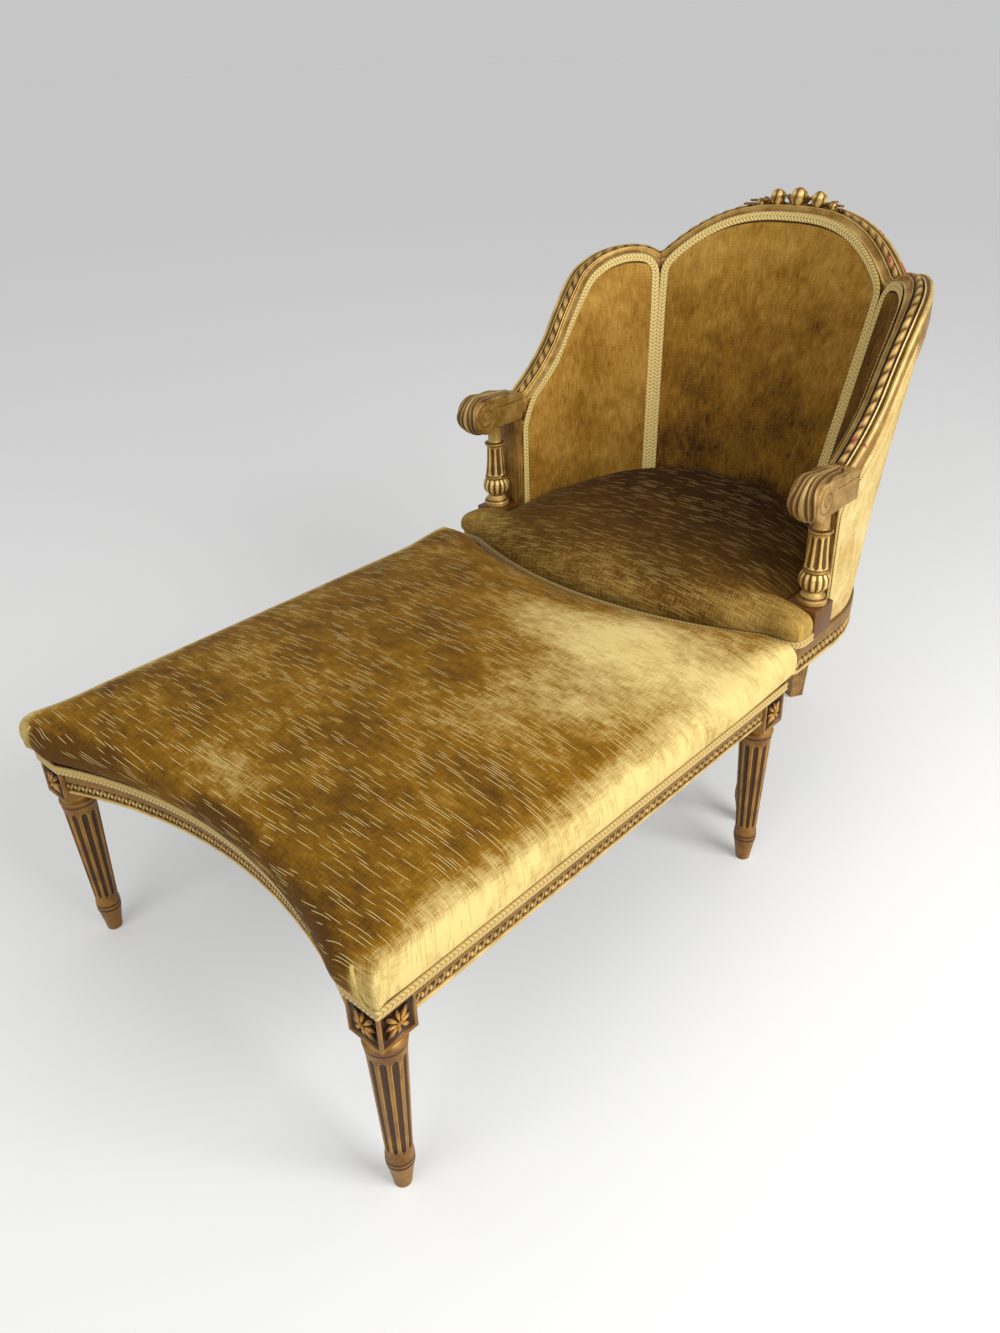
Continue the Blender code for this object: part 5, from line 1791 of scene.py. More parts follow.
@dataclass
class ArmPost(SubAssembly):
    """The turned arm post: neck, ring, fluted shaft, gadrooned bulb, waist and base disc."""

    x: float = 0.294
    y: float = 0.2142
    low: float = 0.373
    high: float = 0.5117
    flutes: int = 8
    lobes: int = 13

    def radius(self, z: float, angle: float) -> tuple[float, float]:
        """Radius and relief of the post.

        Args:
            z: height.
            angle: angle round the axis.

        Returns:
            The radius and the relief.
        """
        share = (z - self.low) / (self.high - self.low)
        profile = ((0.0, 0.0196), (0.008, 0.0202), (0.045, 0.0202), (0.062, 0.0188), (0.070, 0.0166),
                   (0.082, 0.0172), (0.096, 0.0150), (0.118, 0.0128), (0.140, 0.0132), (0.150, 0.0150),
                   (0.165, 0.0178), (0.200, 0.0208), (0.245, 0.0218), (0.290, 0.0208), (0.325, 0.0176),
                   (0.338, 0.0158), (0.345, 0.0172), (0.360, 0.0176), (0.370, 0.0166), (0.400, 0.0160),
                   (0.450, 0.0152), (0.560, 0.0138), (0.720, 0.0128), (0.745, 0.0128), (0.752, 0.0160),
                   (0.765, 0.0168), (0.778, 0.0160), (0.786, 0.0120), (0.800, 0.0106), (1.0, 0.0104))
        radius = straight_line(profile, share)
        relief = 0.68
        if 0.150 < share < 0.335:
            wave = abs(math.sin(angle * self.lobes / 2))
            swell = math.sin(math.pi * clamp((share - 0.150) / 0.185)) ** 0.5
            radius -= 0.0034 * (1 - wave**0.65) * swell
            relief = clamp(0.10 + 0.85 * wave**0.8)
        elif 0.385 < share < 0.715:
            ends = clamp(min(share - 0.385, 0.715 - share) / 0.028)
            cap = math.sqrt(clamp(1 - (1 - ends) ** 2))
            wave = abs((angle * self.flutes / TURN) % 1.0 - 0.5) * 2
            open_share = 0.66 * cap
            depth = math.sqrt(clamp(1 - (wave / open_share) ** 2)) if open_share > 0.05 else 0.0
            radius -= 0.0026 * depth
            relief = 0.85 - 0.52 * clamp(depth * 1.3)
        for groove in (0.066, 0.145, 0.340, 0.372, 0.748, 0.783):
            relief -= 0.45 * hump(share - groove, 0.007)
        return radius, clamp(relief)

    def build(self) -> None:
        """Build and dress both posts."""
        count = 170
        heights = [self.low + (self.high - self.low) * i / count for i in range(count + 1)]
        for hand in Hand:
            bm = turned(heights, self.radius, 120, hand.value * self.x, self.y)
            self.piece(f"chair_fluted_post_{hand.word}", bm, self.finishes.gilt, Slot.GILT,
                       [f"chair_arm_post_{hand.word}"])


@dataclass
class ScrollArm(SubAssembly):
    """A short arm that rolls over in a volute, with a leaf over its top and front."""

    x: float = 0.294
    width: float = 0.042
    rear: float = 0.2654
    underside: float = 0.512
    top: float = 0.553
    bump_y: float = 0.2142
    bump_z: float = 0.559
    scroll_y: float = 0.1782
    scroll_z: float = 0.5345
    scroll_radius: float = 0.0275
    spiral_pitch: float = 0.0105

    def outline(self) -> list[tuple[float, float]]:
        """Side outline from the rear underside round the scroll to the rear top: (y, z)."""
        start = -math.asin((self.scroll_z - self.underside) / self.scroll_radius)
        points = [(self.rear - 0.010 * i, self.underside) for i in range(6)]
        steps = 60
        for i in range(steps + 1):
            turn = start - (math.radians(270) + start) * i / steps
            points.append((self.scroll_y + self.scroll_radius * math.cos(turn),
                           self.scroll_z + self.scroll_radius * math.sin(turn)))
        rise = [(self.scroll_y, self.scroll_z + self.scroll_radius), (self.bump_y, self.bump_z),
                (self.rear, self.top)]
        for i in range(1, 25):
            y = self.scroll_y + (self.rear - self.scroll_y) * i / 24
            points.append((y, smooth_line(rise, y)))
        return points

    def side_relief(self, y: float, z: float) -> tuple[float, float]:
        """How far the side face stands out at a place, and its relief.

        Args:
            y: place on the face.
            z: place on the face.

        Returns:
            The height of the carving in metres and the relief.
        """
        dy, dz = y - self.scroll_y, z - self.scroll_z
        radius = math.hypot(dy, dz)
        angle = math.atan2(dz, dy) % TURN
        winding = ((math.pi / 2 - angle) % TURN) / TURN
        groove = 1.0
        if y < self.scroll_y + 0.004 or radius < self.scroll_radius:
            place = (self.scroll_radius - radius) / self.spiral_pitch + winding - 0.62
            near = abs(place - round(place)) * self.spiral_pitch
            if radius > 0.0055 and place > 0.4:
                groove = clamp(near / (1.6 * MM))
            if radius <= 0.0055:
                groove = clamp((0.0055 - radius) / (1.4 * MM) + 0.1)
        else:
            line = self.top - 0.0085 + 0.25 * max(0.0, self.scroll_y + 0.03 - y)
            groove = clamp(abs(z - line) / (1.6 * MM))
        round_over = math.sqrt(clamp(1 - (1 - groove) ** 2))
        return 1.8 * MM * (round_over - 1), 0.12 + 0.50 * round_over

    def body_mesh(self) -> BMesh:
        """The arm without its leaf: rim and two relief-carved sides."""
        outline = self.outline()
        around = 260
        spine_rear = self.rear - 0.0005

        def ring(share: float, inward: float) -> tuple[float, float]:
            y, z, _, _ = along_outline(outline, share)
            spine_y = clamp(y, self.scroll_y, spine_rear)
            spine_z = self.scroll_z if y < self.scroll_y + 0.002 else (
                self.scroll_z + (0.5325 - self.scroll_z) * clamp((y - self.scroll_y) / 0.04))
            return y + (spine_y - y) * inward, z + (spine_z - z) * inward

        rings = 26

        def place(u: float, v: float) -> Spot:
            place_v = v * (2 * rings + 4)
            half = self.width / 2
            if place_v <= rings:
                inward = 1 - place_v / rings
                y, z = ring(u, inward * 0.985)
                rise, relief = self.side_relief(y, z)
                ease_in = 0.9 * MM * ease(0.05, 0.0, inward)
                return Spot(Vector((self.x - half - rise + ease_in, y, z)), relief)
            if place_v >= rings + 4:
                inward = (place_v - rings - 4) / rings
                y, z = ring(u, inward * 0.985)
                rise, relief = self.side_relief(y, z)
                ease_in = 0.9 * MM * ease(0.05, 0.0, inward)
                return Spot(Vector((self.x + half + rise - ease_in, y, z)), relief)
            t = (place_v - rings) / 4
            y, z = ring(u, -0.02 * math.sin(math.pi * t))
            return Spot(Vector((self.x + (half - 0.9 * MM) * (2 * t - 1), y, z)), 0.6)

        return closed(sheet(around, 2 * rings + 4, place))

    def leaf_mesh(self) -> BMesh:
        """The leaf: a lobed sheet from the rear of the arm's top down over the scroll's front."""
        outline = self.outline()
        ring = list(outline)
        lengths = [0.0]
        for a, b in zip(ring, ring[1:]):
            lengths.append(lengths[-1] + math.dist(a, b))
        start_y = self.bump_y + 0.030
        begin = next(length for length, (y, z) in zip(reversed(lengths), reversed(ring))
                     if y <= start_y and z > self.scroll_z)
        end = next(length for length, (y, z) in zip(lengths, ring)
                   if y < self.scroll_y and z < self.scroll_z - 0.6 * self.scroll_radius)
        fingers = 2.6

        def place(u: float, v: float) -> Spot:
            along = begin + (end - begin) * u
            y, z, ny, nz = along_open(ring, lengths, along)
            t = v * 2 - 1
            edge = 0.5 + 0.5 * math.cos(TURN * (fingers - 3.6 * u))
            taper = clamp(math.sin(math.pi * clamp(0.10 + 0.86 * u)) * 1.7, 0.42, 1.0)
            reach = (self.width / 2 + 0.8 * MM) * taper * (0.84 + 0.16 * edge)
            flow = fingers * abs(t) ** 0.9 - 1.8 * u
            lobe = 0.5 + 0.5 * math.cos(TURN * flow)
            vein = 0.5 + 0.5 * math.cos(TURN * flow * 3)
            rib = hump(t, 0.10)
            crest = clamp(0.62 * lobe**0.8 + 0.30 * vein * (0.4 + 0.6 * lobe) + rib)
            rise = (0.9 + 2.3 * crest + 0.9 * (1 - t * t)) * MM
            relief = clamp(0.10 + 0.74 * crest + 0.10 * (1 - abs(t)))
            drop = 2.4 * MM * max(0.0, abs(t) - 0.84) / 0.16
            return Spot(Vector((self.x + t * reach, y + ny * (rise - drop), z + nz * (rise - drop))),
                        relief, 0.55)

        bm = sheet(150, 64, place)
        bmesh.ops.recalc_face_normals(bm, faces=bm.faces)
        if sum(face.normal.z for face in bm.faces) < 0:
            bmesh.ops.reverse_faces(bm, faces=bm.faces)
        bmesh.ops.solidify(bm, geom=bm.faces, thickness=2.2 * MM)
        return face_out(bm)

    def build(self) -> None:
        """Build and dress both arms."""
        for hand in Hand:
            self.piece(f"chair_scroll_arm_{hand.word}", mirrored(self.body_mesh(), hand),
                       self.finishes.gilt, Slot.GILT, [f"chair_arm_{hand.word}"])
            self.piece(f"chair_arm_leaf_{hand.word}", mirrored(self.leaf_mesh(), hand),
                       self.finishes.leaf, Slot.GILT)


def along_open(ring: Sequence[tuple[float, float]], lengths: Sequence[float],
               along: float) -> tuple[float, float, float, float]:
    """A place on an open outline, by length.

    Args:
        ring: its corners.
        lengths: length up to each corner.
        along: metres along it.

    Returns:
        Both coordinates there and the outward normal's two coordinates.
    """
    i = max(0, min(len(ring) - 2, sum(length < along for length in lengths) - 1))
    step = lengths[i + 1] - lengths[i]
    t = clamp((along - lengths[i]) / step)
    (y1, z1), (y2, z2) = ring[i], ring[i + 1]
    return y1 + (y2 - y1) * t, z1 + (z2 - z1) * t, -(z2 - z1) / step, (y2 - y1) / step


@dataclass
class ShellUpholstery(SubAssembly):
    """The stuffed inner panels, the outside covers and the braids along their edges."""

    bottom: float = 0.3303
    inner: float = 0.0175
    outer: float = 0.0195
    crown: float = 0.010
    rail: float = 0.034
    rebate: float = 0.0205
    cover_drop: float = 0.028
    braid_drop: float = 0.0155
    cover: float = 0.0212
    cover_thickness: float = 0.003
    stile_half: float = 0.0115
    stile: float = 0.0277
    gap: float = 0.0003
    stile_top: float = 0.5117

    def pad(self, name: str, first: float, last: float, top: Callable[[float], float],
            hand: Hand | None, replaced: str, tone: Callable[[float, float], float]) -> None:
        """A stuffed inner panel between two runs.

        Args:
            name: its name.
            first: run at its front edge.
            last: run at its other edge.
            top: height of the line above it at a run.
            hand: its side, or None for the back.
            replaced: the CAD node it stands for.
            tone: how pale the pile is drawn at shares across and up, which on these panels is painted light and
                shade.
        """
        def place(share: Vector) -> Spot:
            u, v, w = share
            back = ((w + 1) / 2) ** 2
            run = first + (last - first) * (u + 1) / 2
            high = top(run) - (self.rail if w > -0.999 else self.rebate)
            z = self.bottom + (high - self.bottom) * (v + 1) / 2
            swell = self.crown * (1 - abs(u) ** 3.4) * (1 - abs(v) ** 3.4)
            out = -self.inner - swell * (1 - back) + (self.inner + self.outer) * back
            tacked = w > -0.999 or abs(u) > 0.999 or abs(v) > 0.999
            return Spot(SHELL.at(run, out, z), float(tacked), tone((u + 1) / 2, (v + 1) / 2))

        def lay(share: Vector, axis: int) -> tuple[float, float]:
            run = first + (last - first) * (share.x + 1) / 2
            return run, self.bottom + (top(run) - self.bottom) * (share.y + 1) / 2

        cuts = (round((last - first) / (7 * MM)), 52, 3)
        bm = block(cuts, place, lay)
        if hand:
            bm = mirrored(bm, hand)
        obj = self.piece(name, bm, self.finishes.panel_velvet, Slot.VELVET, [replaced])
        inflate(obj, 4.0, 3.0)

    def outside(self, name: str, first: float, last: float, top: Callable[[float], float],
                hand: Hand | None, replaced: str) -> None:
        """The cover of the outside between two runs.

        Args:
            name: its name.
            first: run at its front edge.
            last: run at its other edge.
            top: height of the line above it at a run.
            hand: its side, or None for the back.
            replaced: the CAD node it stands for.
        """
        def place(share: Vector) -> Spot:
            u, v, w = share
            run = first + (last - first) * (u + 1) / 2
            high = top(max(run, 0.0)) - self.cover_drop
            if run < 0:
                high = min(high, self.stile_top)
            z = self.bottom + (high - self.bottom) * (v + 1) / 2
            swell = 1.5 * MM * (1 - u**6) * (1 - v**6)
            out = self.cover + (self.cover_thickness + swell if w > 0 else 0.0)
            return Spot(SHELL.at(run, out, z), 0.6, 0.55)

        def lay(share: Vector, axis: int) -> tuple[float, float]:
            run = first + (last - first) * (share.x + 1) / 2
            return run, self.bottom + (top(max(run, 0.0)) - self.bottom) * (share.y + 1) / 2

        bm = block((round((last - first) / (5 * MM)), 50, 1), place, lay)
        if hand:
            bm = mirrored(bm, hand)
        obj = self.piece(name, bm, self.finishes.cover_velvet, Slot.VELVET, [replaced])

    def build(self) -> None:
        """Build and dress the panels, covers and braids."""
        shell = SHELL
        wing_last = shell.wing_run - self.stile_half

        # Painted light and shade on the inner panels: each grows darker towards the bottom; the left wing is painted
        # paler as the lit side, and the right wing darker as the side turned from the light.
        def wing_tone(u: float, v: float) -> float:
            return 0.44 + 0.16 * v

        def right_wing_tone(u: float, v: float) -> float:
            return 0.10 + 0.16 * v

        def back_tone(u: float, v: float) -> float:
            return 0.16 + 0.44 * v

        for hand in Hand:
            self.pad(f"chair_wing_panel_{hand.word}", self.gap, wing_last, shell.wing_top, hand,
                     f"chair_wing_pad_{hand.word}", right_wing_tone if hand is Hand.RIGHT else wing_tone)
            self.outside(f"chair_wing_cover_{hand.word}", -self.stile, shell.wing_run - self.gap,
                         shell.wing_top, hand, f"chair_outside_wing_{hand.word}")
            self.wing_braid(hand)
            self.outer_braid(hand)
        far = 2 * shell.half_run - shell.wing_run
        self.pad("chair_back_panel", shell.wing_run + self.stile_half, far - self.stile_half,
                 shell.crest_top, None, "chair_back_pad", back_tone)
        self.outside("chair_back_cover", shell.wing_run + 2 * self.gap, far - 2 * self.gap,
                     shell.crest_top, None, "chair_outside_back")
        self.back_braid()

    def braid_on(self, name: str, plan: Sequence[tuple[float, float]], hand: Hand | None,
                 out: float, ribbon: Ribbon, facing: int = -1) -> None:
        """A braid on the shell along (run, height) places.

        Args:
            name: its name.
            plan: corners of its middle line.
            hand: its side, or None for the back.
            out: metres outside the plan line.
            ribbon: the braid's kind.
            facing: -1 on the inside, 1 on the outside.
        """
        flat = resampled([Vector((run, z, 0)) for run, z in rounded(plan, 0.012)], 1.0 * MM)
        spots = []
        for i, spot in enumerate(flat):
            ahead, behind = flat[min(i + 1, len(flat) - 1)], flat[max(i - 1, 0)]
            travel = (ahead - behind).normalized()
            side = Vector((-travel.y, travel.x))
            here = SHELL.at(spot.x, out, spot.y)
            across = SHELL.at(spot.x + side.x * MM, out, spot.y + side.y * MM) - here
            front = SHELL.at(spot.x, out + facing * MM, spot.y) - here
            spots.append((here, across.normalized(), front.normalized()))
        if hand is Hand.LEFT:
            flip = Vector((-1, 1, 1))
            spots = [(a * flip, b * flip, c * flip) for a, b, c in spots]
        ribbon.build(name, spots, self.finishes.braid)

    def below(self, top: Callable[[float], float], run: float, drop: float) -> tuple[float, float]:
        """A place square below a top line.

        Args:
            top: height of the line at a run.
            run: metres behind the front stile.
            drop: how far below.

        Returns:
            The run and the height.
        """
        slope = (top(run + MM) - top(run - MM)) / (2 * MM)
        return run, top(run) - drop * math.sqrt(1 + slope * slope)

    def wing_braid(self, hand: Hand) -> None:
        """The braid round a wing's inner panel.

        Args:
            hand: its side.
        """
        half, last, top = 0.0066, SHELL.wing_run, SHELL.wing_top
        plan = [(-half, 0.345), (-half, 0.503), (0.006, 0.528)]
        for i in range(2, 29):
            plan.append(self.below(top, last * i / 30, self.braid_drop))
        plan = [spot for spot in plan if spot[0] < last - 0.014]
        plan += [(last - 0.0080, top(last) - self.braid_drop - 0.004), (last - 0.0067, 0.66),
                 (last - 0.0074, 0.345)]
        ribbon = Ribbon(self.finishes, width=0.0132)
        self.braid_on(f"chair_wing_braid_{hand.word}", plan, hand, -self.inner - 0.6 * MM, ribbon)

    def outer_braid(self, hand: Hand) -> None:
        """The narrow braid up the front edge of an outside cover and on under the rail.

        Args:
            hand: its side.
        """
        half, last, top = 0.0045, SHELL.wing_run, SHELL.wing_top
        front = half - self.stile
        plan = [(front, 0.337), (front, 0.494), (front * 0.5, 0.511), (0.005, 0.520)]
        for i in range(1, 29):
            plan.append(self.below(top, last * i / 30, self.cover_drop + half))
        ribbon = Ribbon(self.finishes, width=0.0088, thickness=0.0018, pitch=0.0046)
        self.braid_on(f"chair_cover_braid_{hand.word}", plan, hand,
                      self.cover + self.cover_thickness + 0.2 * MM, ribbon, 1)

    def back_braid(self) -> None:
        """The braids round the back's inner panel and along the top of its cover."""
        first, top = SHELL.wing_run, SHELL.crest_top
        last = 2 * SHELL.half_run - first
        plan = [(first + 0.0074, 0.345), (first + 0.0067, 0.66),
                (first + 0.0080, top(first) - self.braid_drop - 0.002)]
        rim = []
        for i in range(1, 40):
            run = first + (last - first) * i / 40
            rim.append(self.below(top, run, self.cover_drop + 0.0045))
            if first + 0.015 < run < last - 0.015:
                plan.append(self.below(top, run, self.braid_drop))
        plan += [(last - 0.0080, top(last) - self.braid_drop - 0.002), (last - 0.0067, 0.66),
                 (last - 0.0074, 0.345)]
        self.braid_on("chair_back_braid", plan, None, -self.inner - 0.6 * MM,
                      Ribbon(self.finishes, width=0.0132))
        self.braid_on("chair_cover_braid_back", rim, None, self.cover + self.cover_thickness + 0.2 * MM,
                      Ribbon(self.finishes, width=0.0088, thickness=0.0018, pitch=0.0046), 1)


def rounded(plan: Sequence[tuple[float, float]], radius: float) -> list[tuple[float, float]]:
    """A broken line with its sharp corners rounded.

    Args:
        plan: its corners.
        radius: how much of each side a corner takes, at most.

    Returns:
        The new line.
    """
    found = [plan[0]]
    for before, corner, after in zip(plan, plan[1:], plan[2:]):
        a, b, c = Vector(before), Vector(corner), Vector(after)
        reach_a = min(radius, (a - b).length / 2)
        reach_c = min(radius, (c - b).length / 2)
        start = b + (a - b).normalized() * reach_a
        end = b + (c - b).normalized() * reach_c
        for i in range(7):
            t = i / 6
            found.append(tuple(start * (1 - t) ** 2 + b * (2 * t * (1 - t)) + end * t**2))
    return found + [plan[-1]]


@dataclass
class ChairCushion(SubAssembly):
    """The chair's stuffed seat: ears in front of the arm blocks, the shell behind them."""

    corner_x: float = 0.290
    block_side: float = 0.049
    side_face: float = 0.3145
    front_face: float = 0.1412
    block_front: float = 0.1887
    clearance: float = 0.0035
    crown: float = 0.032
    edge_drop: float = 0.008
    corner_pull: float = 0.0065
    rear_rise: float = 0.85
    rear_lean: float = 0.237
    ear_cut: float = -0.70
    ear_width: float = 0.14
    ear_bow: float = 0.85
    # Painted shade: the pile is drawn darker towards the rear of the seat, under the back and wings.
    tones: tuple[tuple[float, float], ...] = ((0.08, 0.56), (0.14, 0.44), (0.22, 0.30), (0.36, 0.18),
                                              (0.50, 0.06))
    side: CushionSide = CushionSide(0.3316, 0.0036, 0.038, shares=(
        (0.74, -0.20), (1.04, 0.12), (1.04, 0.46), (0.20, 0.78), (-1.40, 1.00)))

    def limit(self, x: float) -> float:
        """Y of the inside of the shell at a distance from the middle."""
        inset = SHELL.pad_inner + self.clearance
        share = min(1.0, abs(x) / (SHELL.wing_x - inset))
        return SHELL.front_y + (SHELL.seat_depth - inset) * math.sqrt(1 - share * share)

    def plan(self, u: float, v: float, out: float) -> tuple[float, float]:
        """Plan place on the seat.

        Args:
            u: share across, -1 to 1.
            v: share along, -1 to 1.
            out: metres outside the blocks.

        Returns:
            X and Y.
        """
        kink = self.corner_x - self.block_side / 2
        if v > self.ear_cut:
            x = u * (SHELL.wing_x - SHELL.pad_inner - self.clearance)
            notch = self.block_front - self.clearance - self.ear_bow * CHAIR_ARC.at(x)
            return x, notch + (self.limit(x) - notch) * (v - self.ear_cut) / (1 - self.ear_cut)
        past = (abs(u) - 1 + self.ear_width) / self.ear_width
        if past > 0:
            x = math.copysign(kink + (self.side_face + out - kink) * past, u)
        else:
            x = kink * u / (1 - self.ear_width)
        front = self.front_face - out - CHAIR_ARC.at(x)
        notch = self.block_front - self.clearance - self.ear_bow * CHAIR_ARC.at(x)
        y = front + (notch - front) * (v + 1) / (self.ear_cut + 1)
        pull = self.corner_pull * (max(0.0, -v) * abs(u)) ** 24
        return x - math.copysign(pull, u), y + pull

    def place(self, share: Vector) -> Spot:
        """The spot of a corner of the stuffed form."""
        u, v, w = share
        out, z = self.side.at((w + 1) / 2)
        x, y = self.plan(u, v, out)
        if w > 0.999:
            z += self.crown * (1 - abs(u) ** 2.6) * (1 - abs(v) ** 2.6)
            z += self.edge_drop * (1 - abs(u) ** 12) * (1 - abs(v) ** 12)
            z += 0.8 * MM * ripple(x + 0.3, y) * (1 - u * u) * (1 - v * v)
        depth = max(0.0, (y - SHELL.front_y) / SHELL.seat_depth)
        z = self.side.base + (z - self.side.base) * (1 + self.rear_rise * depth * depth)
        y += self.rear_lean * (z - self.side.base) * depth
        # Tone falls with depth as painted shade; the ears are painted paler as lit corners, the right ear more,
        # being on the side nearer the light.
        tone = straight_line(self.tones, y) + (2.8 if x > 0 else 1.8) * max(0.0, abs(x) - 0.19)
        return Spot(Vector((x, y, z)), 1.0 if w < -0.7 else 0.0, tone)

    def lay(self, share: Vector, axis: int) -> tuple[float, float]:
        """The cloth's own place."""
        u, v, w = share
        x, y = self.plan(u, v, 0.0)
        drop = (1 - w) / 2 * self.side.rise * 1.15
        if axis == 0:
            return math.copysign(abs(x) + drop, u), y
        if axis == 1:
            return x, y + math.copysign(drop, v)
        return x, y

    def build(self) -> None:
        """Build and dress the seat."""
        obj = self.piece("chair_seat", block((79, 63, 7), self.place, self.lay),
                         self.finishes.seat_velvet, Slot.SEAT, ["chair_seat_cushion"])
        inflate(obj, 2.0)


@dataclass
class ChairFrame(SubAssembly):
    """The chair's seat rails, front legs and gimp, with its arm posts, scroll arms, top rails and crest spray."""

    corner_x: float = 0.290
    leg_x: float = 0.251
    leg_y: float = 0.1657
    front_face: float = 0.1412
    block_side: float = 0.049
    block_rear: float = 0.2112
    leg_height: float = 0.280
    corner_radius: float = 0.022
    rail_bottom: float = 0.285
    rail_height: float = 0.045
    block_front: float = 0.1887
    block_top: float = 0.3727
    shell_y: float = 0.2657
    stile: float = 0.0277
    rail_offset: float = 0.017
    rail_recess: float = 0.0035
    back_leg_side: float = 0.034
    gap: float = 0.0003

    def box(self, low: tuple[float, float, float], high: tuple[float, float, float]) -> BMesh:
        """A plain block with soft edges.

        Args:
            low: its lowest corner.
            high: its highest corner.

        Returns:
            The closed mesh.
        """
        bm = bmesh.new()
        relief = bm.verts.layers.float.new("relief")
        bm.verts.layers.float.new("tone")
        bmesh.ops.create_cube(bm, size=1.0)
        bmesh.ops.scale(bm, vec=Vector(high) - Vector(low), verts=bm.verts)
        bmesh.ops.translate(bm, vec=(Vector(high) + Vector(low)) / 2, verts=bm.verts)
        bmesh.ops.bevel(bm, geom=list(bm.edges), offset=1.0 * MM, segments=2, profile=0.5,
                        affect="EDGES", material=-1)
        for vert in bm.verts:
            vert[relief] = 0.50
        return bm

    def legs(self) -> None:
        """Both front legs, the frame's corners over them and the arm blocks."""
        half, toe = self.block_side / 2, 0.0148
        inside, behind = self.corner_x - half, self.front_face + 0.0258
        core, top = self.corner_x - 0.0015, self.rail_bottom + self.rail_height
        for hand in Hand:
            corner = self.box((inside, behind, self.leg_height), (core, self.block_rear, top))
            inner = self.box((self.leg_x - toe, behind, self.leg_height),
                             (inside + MM, self.leg_y + toe, top))
            arm = self.box((inside, self.block_front, top + self.gap),
                           (self.corner_x + half, self.shell_y - self.stile - self.gap, self.block_top))
            leg = TurnedLeg(self.finishes, self.body, x=hand.value * self.leg_x, y=self.leg_y,
                            leg_height=self.leg_height)
            leg.build(f"chair_turned_leg_{hand.word}", [f"chair_front_leg_{hand.word}"],
                      [mirrored(part, hand) for part in (corner, inner, arm)])

    def front_line(self, out: float, rear: float) -> list[tuple[float, float]]:
        """The line round the seat's front, its two corners rounded.

        Args:
            out: metres outside the frame's own line.
            rear: Y of both its ends.

        Returns:
            Plan points from the left end to the right end.
        """
        side, face = self.corner_x + self.block_side / 2 + out, self.front_face - out
        radius = self.corner_radius + self.rail_recess + out
        right = []
        for i in range(41):
            x = (side - radius) * i / 40
            right.append((x, face - CHAIR_ARC.at(x)))
        for i in range(1, 13):
            turn = math.pi / 2 * i / 12
            right.append((side - radius + radius * math.sin(turn), face + radius - radius * math.cos(turn)))
        right.append((side, rear))
        return [(-x, y) for x, y in reversed(right[1:])] + right

    def rails(self) -> None:
        """The bowed front rail with its corners, both side rails and the back rail."""
        rail = CarvedRail(self.finishes, self.body, height=self.rail_height)
        inset = self.rail_recess + rail.thickness / 2
        points = [Vector((x, y, self.rail_bottom)) for x, y in self.front_line(-inset, self.block_rear)]
        rail.build("chair_bow_rail", points, ["chair_front_rail"])
        first = self.block_rear + self.gap - self.shell_y
        last = SHELL.wing_run - self.back_leg_side / 2 - 2 * self.gap
        right = []
        for i in range(61):
            run = first + (last - first) * i / 60
            right.append(SHELL.at(run, self.rail_offset, self.rail_bottom))
        left = [Vector((-point.x, point.y, point.z)) for point in reversed(right)]
        rail.build("chair_rail_right", right, ["chair_side_rail_right"])
        rail.build("chair_rail_left", left, ["chair_side_rail_left"])
        first = SHELL.wing_run + self.back_leg_side / 2 + 2 * self.gap
        span = 2 * (SHELL.half_run - first)
        points = [SHELL.at(first + span * i / 80, self.rail_offset, self.rail_bottom) for i in range(81)]
        rail.build("chair_rail_rear", points, ["chair_back_rail"])

    def gimp(self) -> None:
        """The braid along the seat's front edge and round its ears."""
        line = self.front_line(self.gap, self.block_front - 0.0035)
        points = [Vector((x, y, 0.3368)) for x, y in line]
        spots = upright_spots(resampled(points, 1.1 * MM))
        Ribbon(self.finishes, self.body, width=0.013, thickness=0.0026).build(
            "chair_front_braid", spots, self.finishes.gimp, ["chair_gimp"])

    def build(self) -> None:
        """Build and dress the chair's frame."""
        self.rails()
        self.legs()
        self.gimp()
        ArmPost(self.finishes).build()
        ScrollArm(self.finishes).build()
        TopRails(self.finishes).build()
        CrestSpray(self.finishes).build()


@dataclass
class KeptParts(SubAssembly):
    """CAD nodes whose shape is right, which only take a finish."""

    def build(self) -> None:
        """Give each kept node its finish."""
        kinds = (("spring", self.finishes.steel), ("hessian", self.finishes.hessian),
                 ("webbing", self.finishes.webbing), ("bottom_cloth", self.finishes.black_cloth),
                 ("brace", self.finishes.beech), ("stile", self.finishes.plain),
                 ("back_leg", self.finishes.plain))
        for name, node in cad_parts.items():
            for word, material in kinds:
                if word in name:
                    node.data.materials.clear()
                    node.data.materials.append(material)
                    log.info("%s keeps its shape", name)


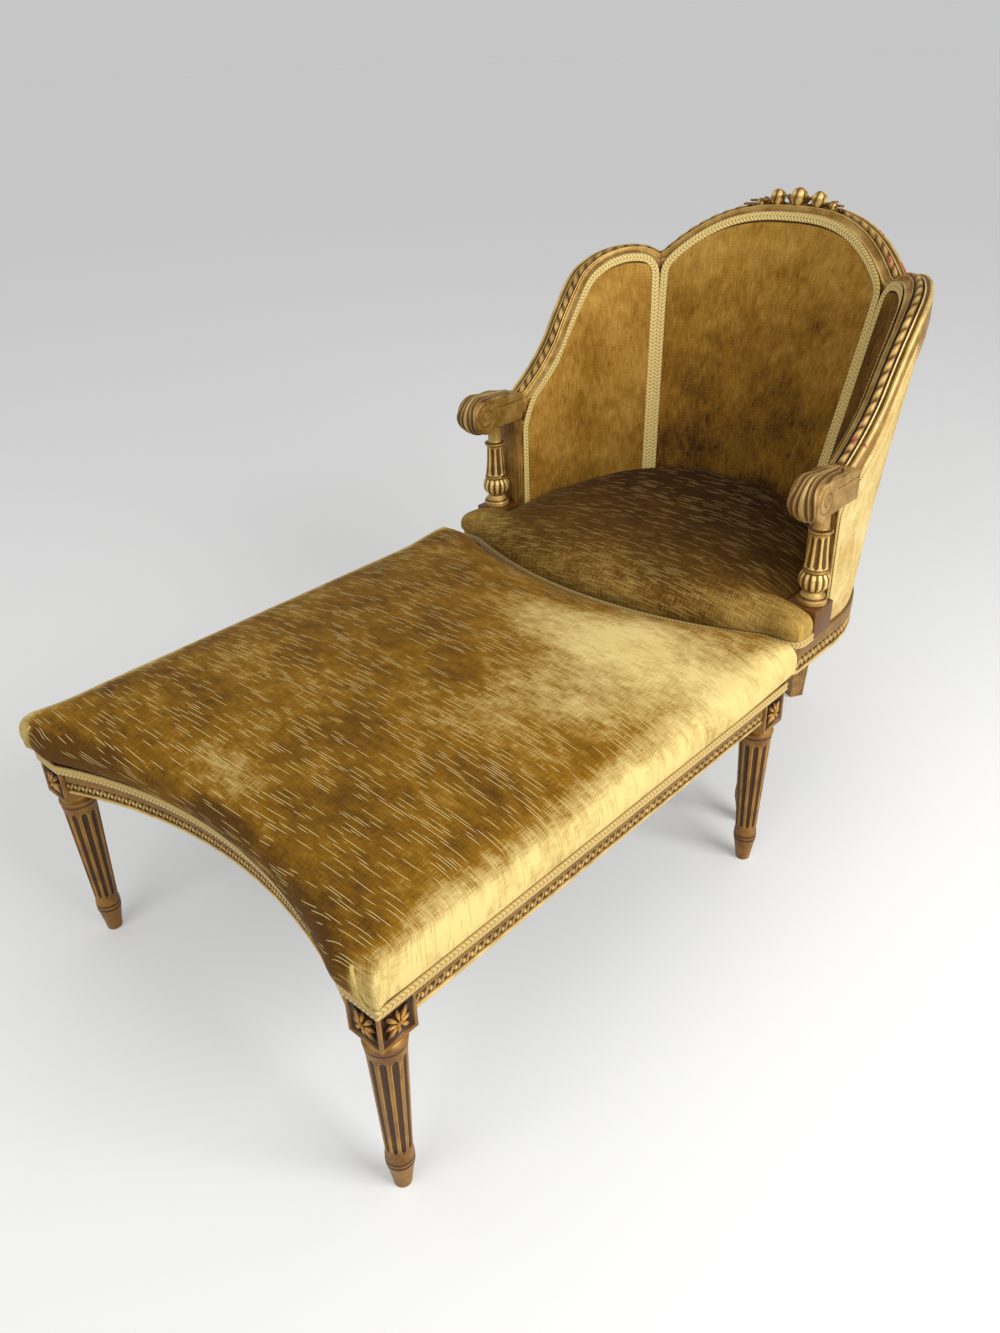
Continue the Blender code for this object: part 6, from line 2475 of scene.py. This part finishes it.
@dataclass
class Studio:
    """Plain pale floor, soft lamps and the camera at the photograph's view."""

    location: tuple[float, float, float] = (0.8707, -1.0264, 1.0515)
    azimuth: float = math.radians(43.358)
    elevation: float = math.radians(30.491)
    roll: float = math.radians(-2.142)
    focal_share: float = 1061.6 / 1333

    def camera(self) -> None:
        """Place the camera."""
        data = bpy.data.cameras.new("camera")
        data.sensor_fit = "VERTICAL"
        data.sensor_height = 36.0
        data.lens = 36.0 * self.focal_share
        data.clip_start = 0.01
        obj = bpy.data.objects.new("camera", data)
        bpy.context.scene.collection.objects.link(obj)
        back = Vector((math.sin(self.azimuth) * math.cos(self.elevation),
                       -math.cos(self.azimuth) * math.cos(self.elevation), math.sin(self.elevation)))
        right = Vector((math.cos(self.azimuth), math.sin(self.azimuth), 0))
        up = back.cross(right)
        turned_right = right * math.cos(self.roll) + up * math.sin(self.roll)
        turned_up = back.cross(turned_right)
        axes = Matrix((turned_right, turned_up, back)).transposed().to_4x4()
        obj.matrix_world = Matrix.Translation(self.location) @ axes
        bpy.context.scene.camera = obj

    def lamp(self, name: str, place: tuple[float, float, float], size: float, power: float,
             aim: tuple[float, float, float] = (0, 0, 0.35)) -> None:
        """A large soft lamp.

        Args:
            name: its name.
            place: where it hangs.
            size: its side in metres.
            power: its power in watts.
            aim: what it points at.
        """
        data = bpy.data.lights.new(name, "AREA")
        data.shape = "SQUARE"
        data.size = size
        data.energy = power
        obj = bpy.data.objects.new(name, data)
        obj.location = place
        obj.rotation_euler = (Vector(place) - Vector(aim)).to_track_quat("Z", "Y").to_euler()
        bpy.context.scene.collection.objects.link(obj)

    def floor(self) -> None:
        """A plain pale floor."""
        bm = bmesh.new()
        bmesh.ops.create_grid(bm, x_segments=1, y_segments=1, size=60.0)
        mesh = bpy.data.meshes.new("floor")
        bm.to_mesh(mesh)
        bm.free()
        material, tree, shader = new_material("pale matt floor")
        shader.inputs["Base Color"].default_value = linear("e2e2e0")
        shader.inputs["Roughness"].default_value = 0.9
        shader.inputs["Emission Color"].default_value = linear("f2f2f0")
        seen = maths(tree, "MULTIPLY", self.seen_share(tree), 0.24)
        tree.links.new(seen, shader.inputs["Emission Strength"])
        mesh.materials.append(material)
        obj = bpy.data.objects.new("floor", mesh)
        bpy.context.scene.collection.objects.link(obj)

    def seen_share(self, tree: bpy.types.NodeTree) -> bpy.types.NodeSocket:
        """1 for rays that the eye, a reflection or glass sends, 0 for rays that light the scene.

        Args:
            tree: the material's or world's nodes.

        Returns:
            The socket.
        """
        path = add(tree, "ShaderNodeLightPath", {}).outputs
        straight = maths(tree, "MAXIMUM", path["Is Camera Ray"], path["Is Transmission Ray"])
        return maths(tree, "MAXIMUM", straight, path["Is Glossy Ray"])

    def world(self) -> None:
        """A pale surround that lights evenly and looks nearly white."""
        world = bpy.data.worlds.new("studio")
        world.use_nodes = True
        tree = world.node_tree
        light = tree.nodes["Background"]
        light.inputs["Color"].default_value = linear("eef0f2")
        light.inputs["Strength"].default_value = 0.50
        backdrop = add(tree, "ShaderNodeBackground", {"Color": linear("c5c6c5"), "Strength": 1.0})
        mix = add(tree, "ShaderNodeMixShader", {}, {0: self.seen_share(tree), 1: light.outputs[0],
                                                    2: backdrop.outputs[0]})
        tree.links.new(mix.outputs[0], tree.nodes["World Output"].inputs["Surface"])
        bpy.context.scene.world = world

    def build(self) -> None:
        """Build the studio."""
        scene = bpy.context.scene
        scene.view_settings.view_transform = "Standard"
        self.camera()
        self.floor()
        self.world()
        self.lamp("key lamp", (2.5, 0.1, 1.7), 1.6, 62)
        self.lamp("front lamp", (0.3, -2.6, 2.4), 1.8, 24)


def main() -> None:
    """Build every sub-assembly; each piece logs its face count as it is made."""
    logging.basicConfig(level=logging.INFO, format="%(message)s")
    Studio().build()
    finishes = Finishes()
    Footstool(finishes, Body.FOOTSTOOL).build()
    ChairFrame(finishes).build()
    ShellUpholstery(finishes).build()
    ChairCushion(finishes).build()
    KeptParts(finishes).build()


if __name__ == "__main__":
    main()
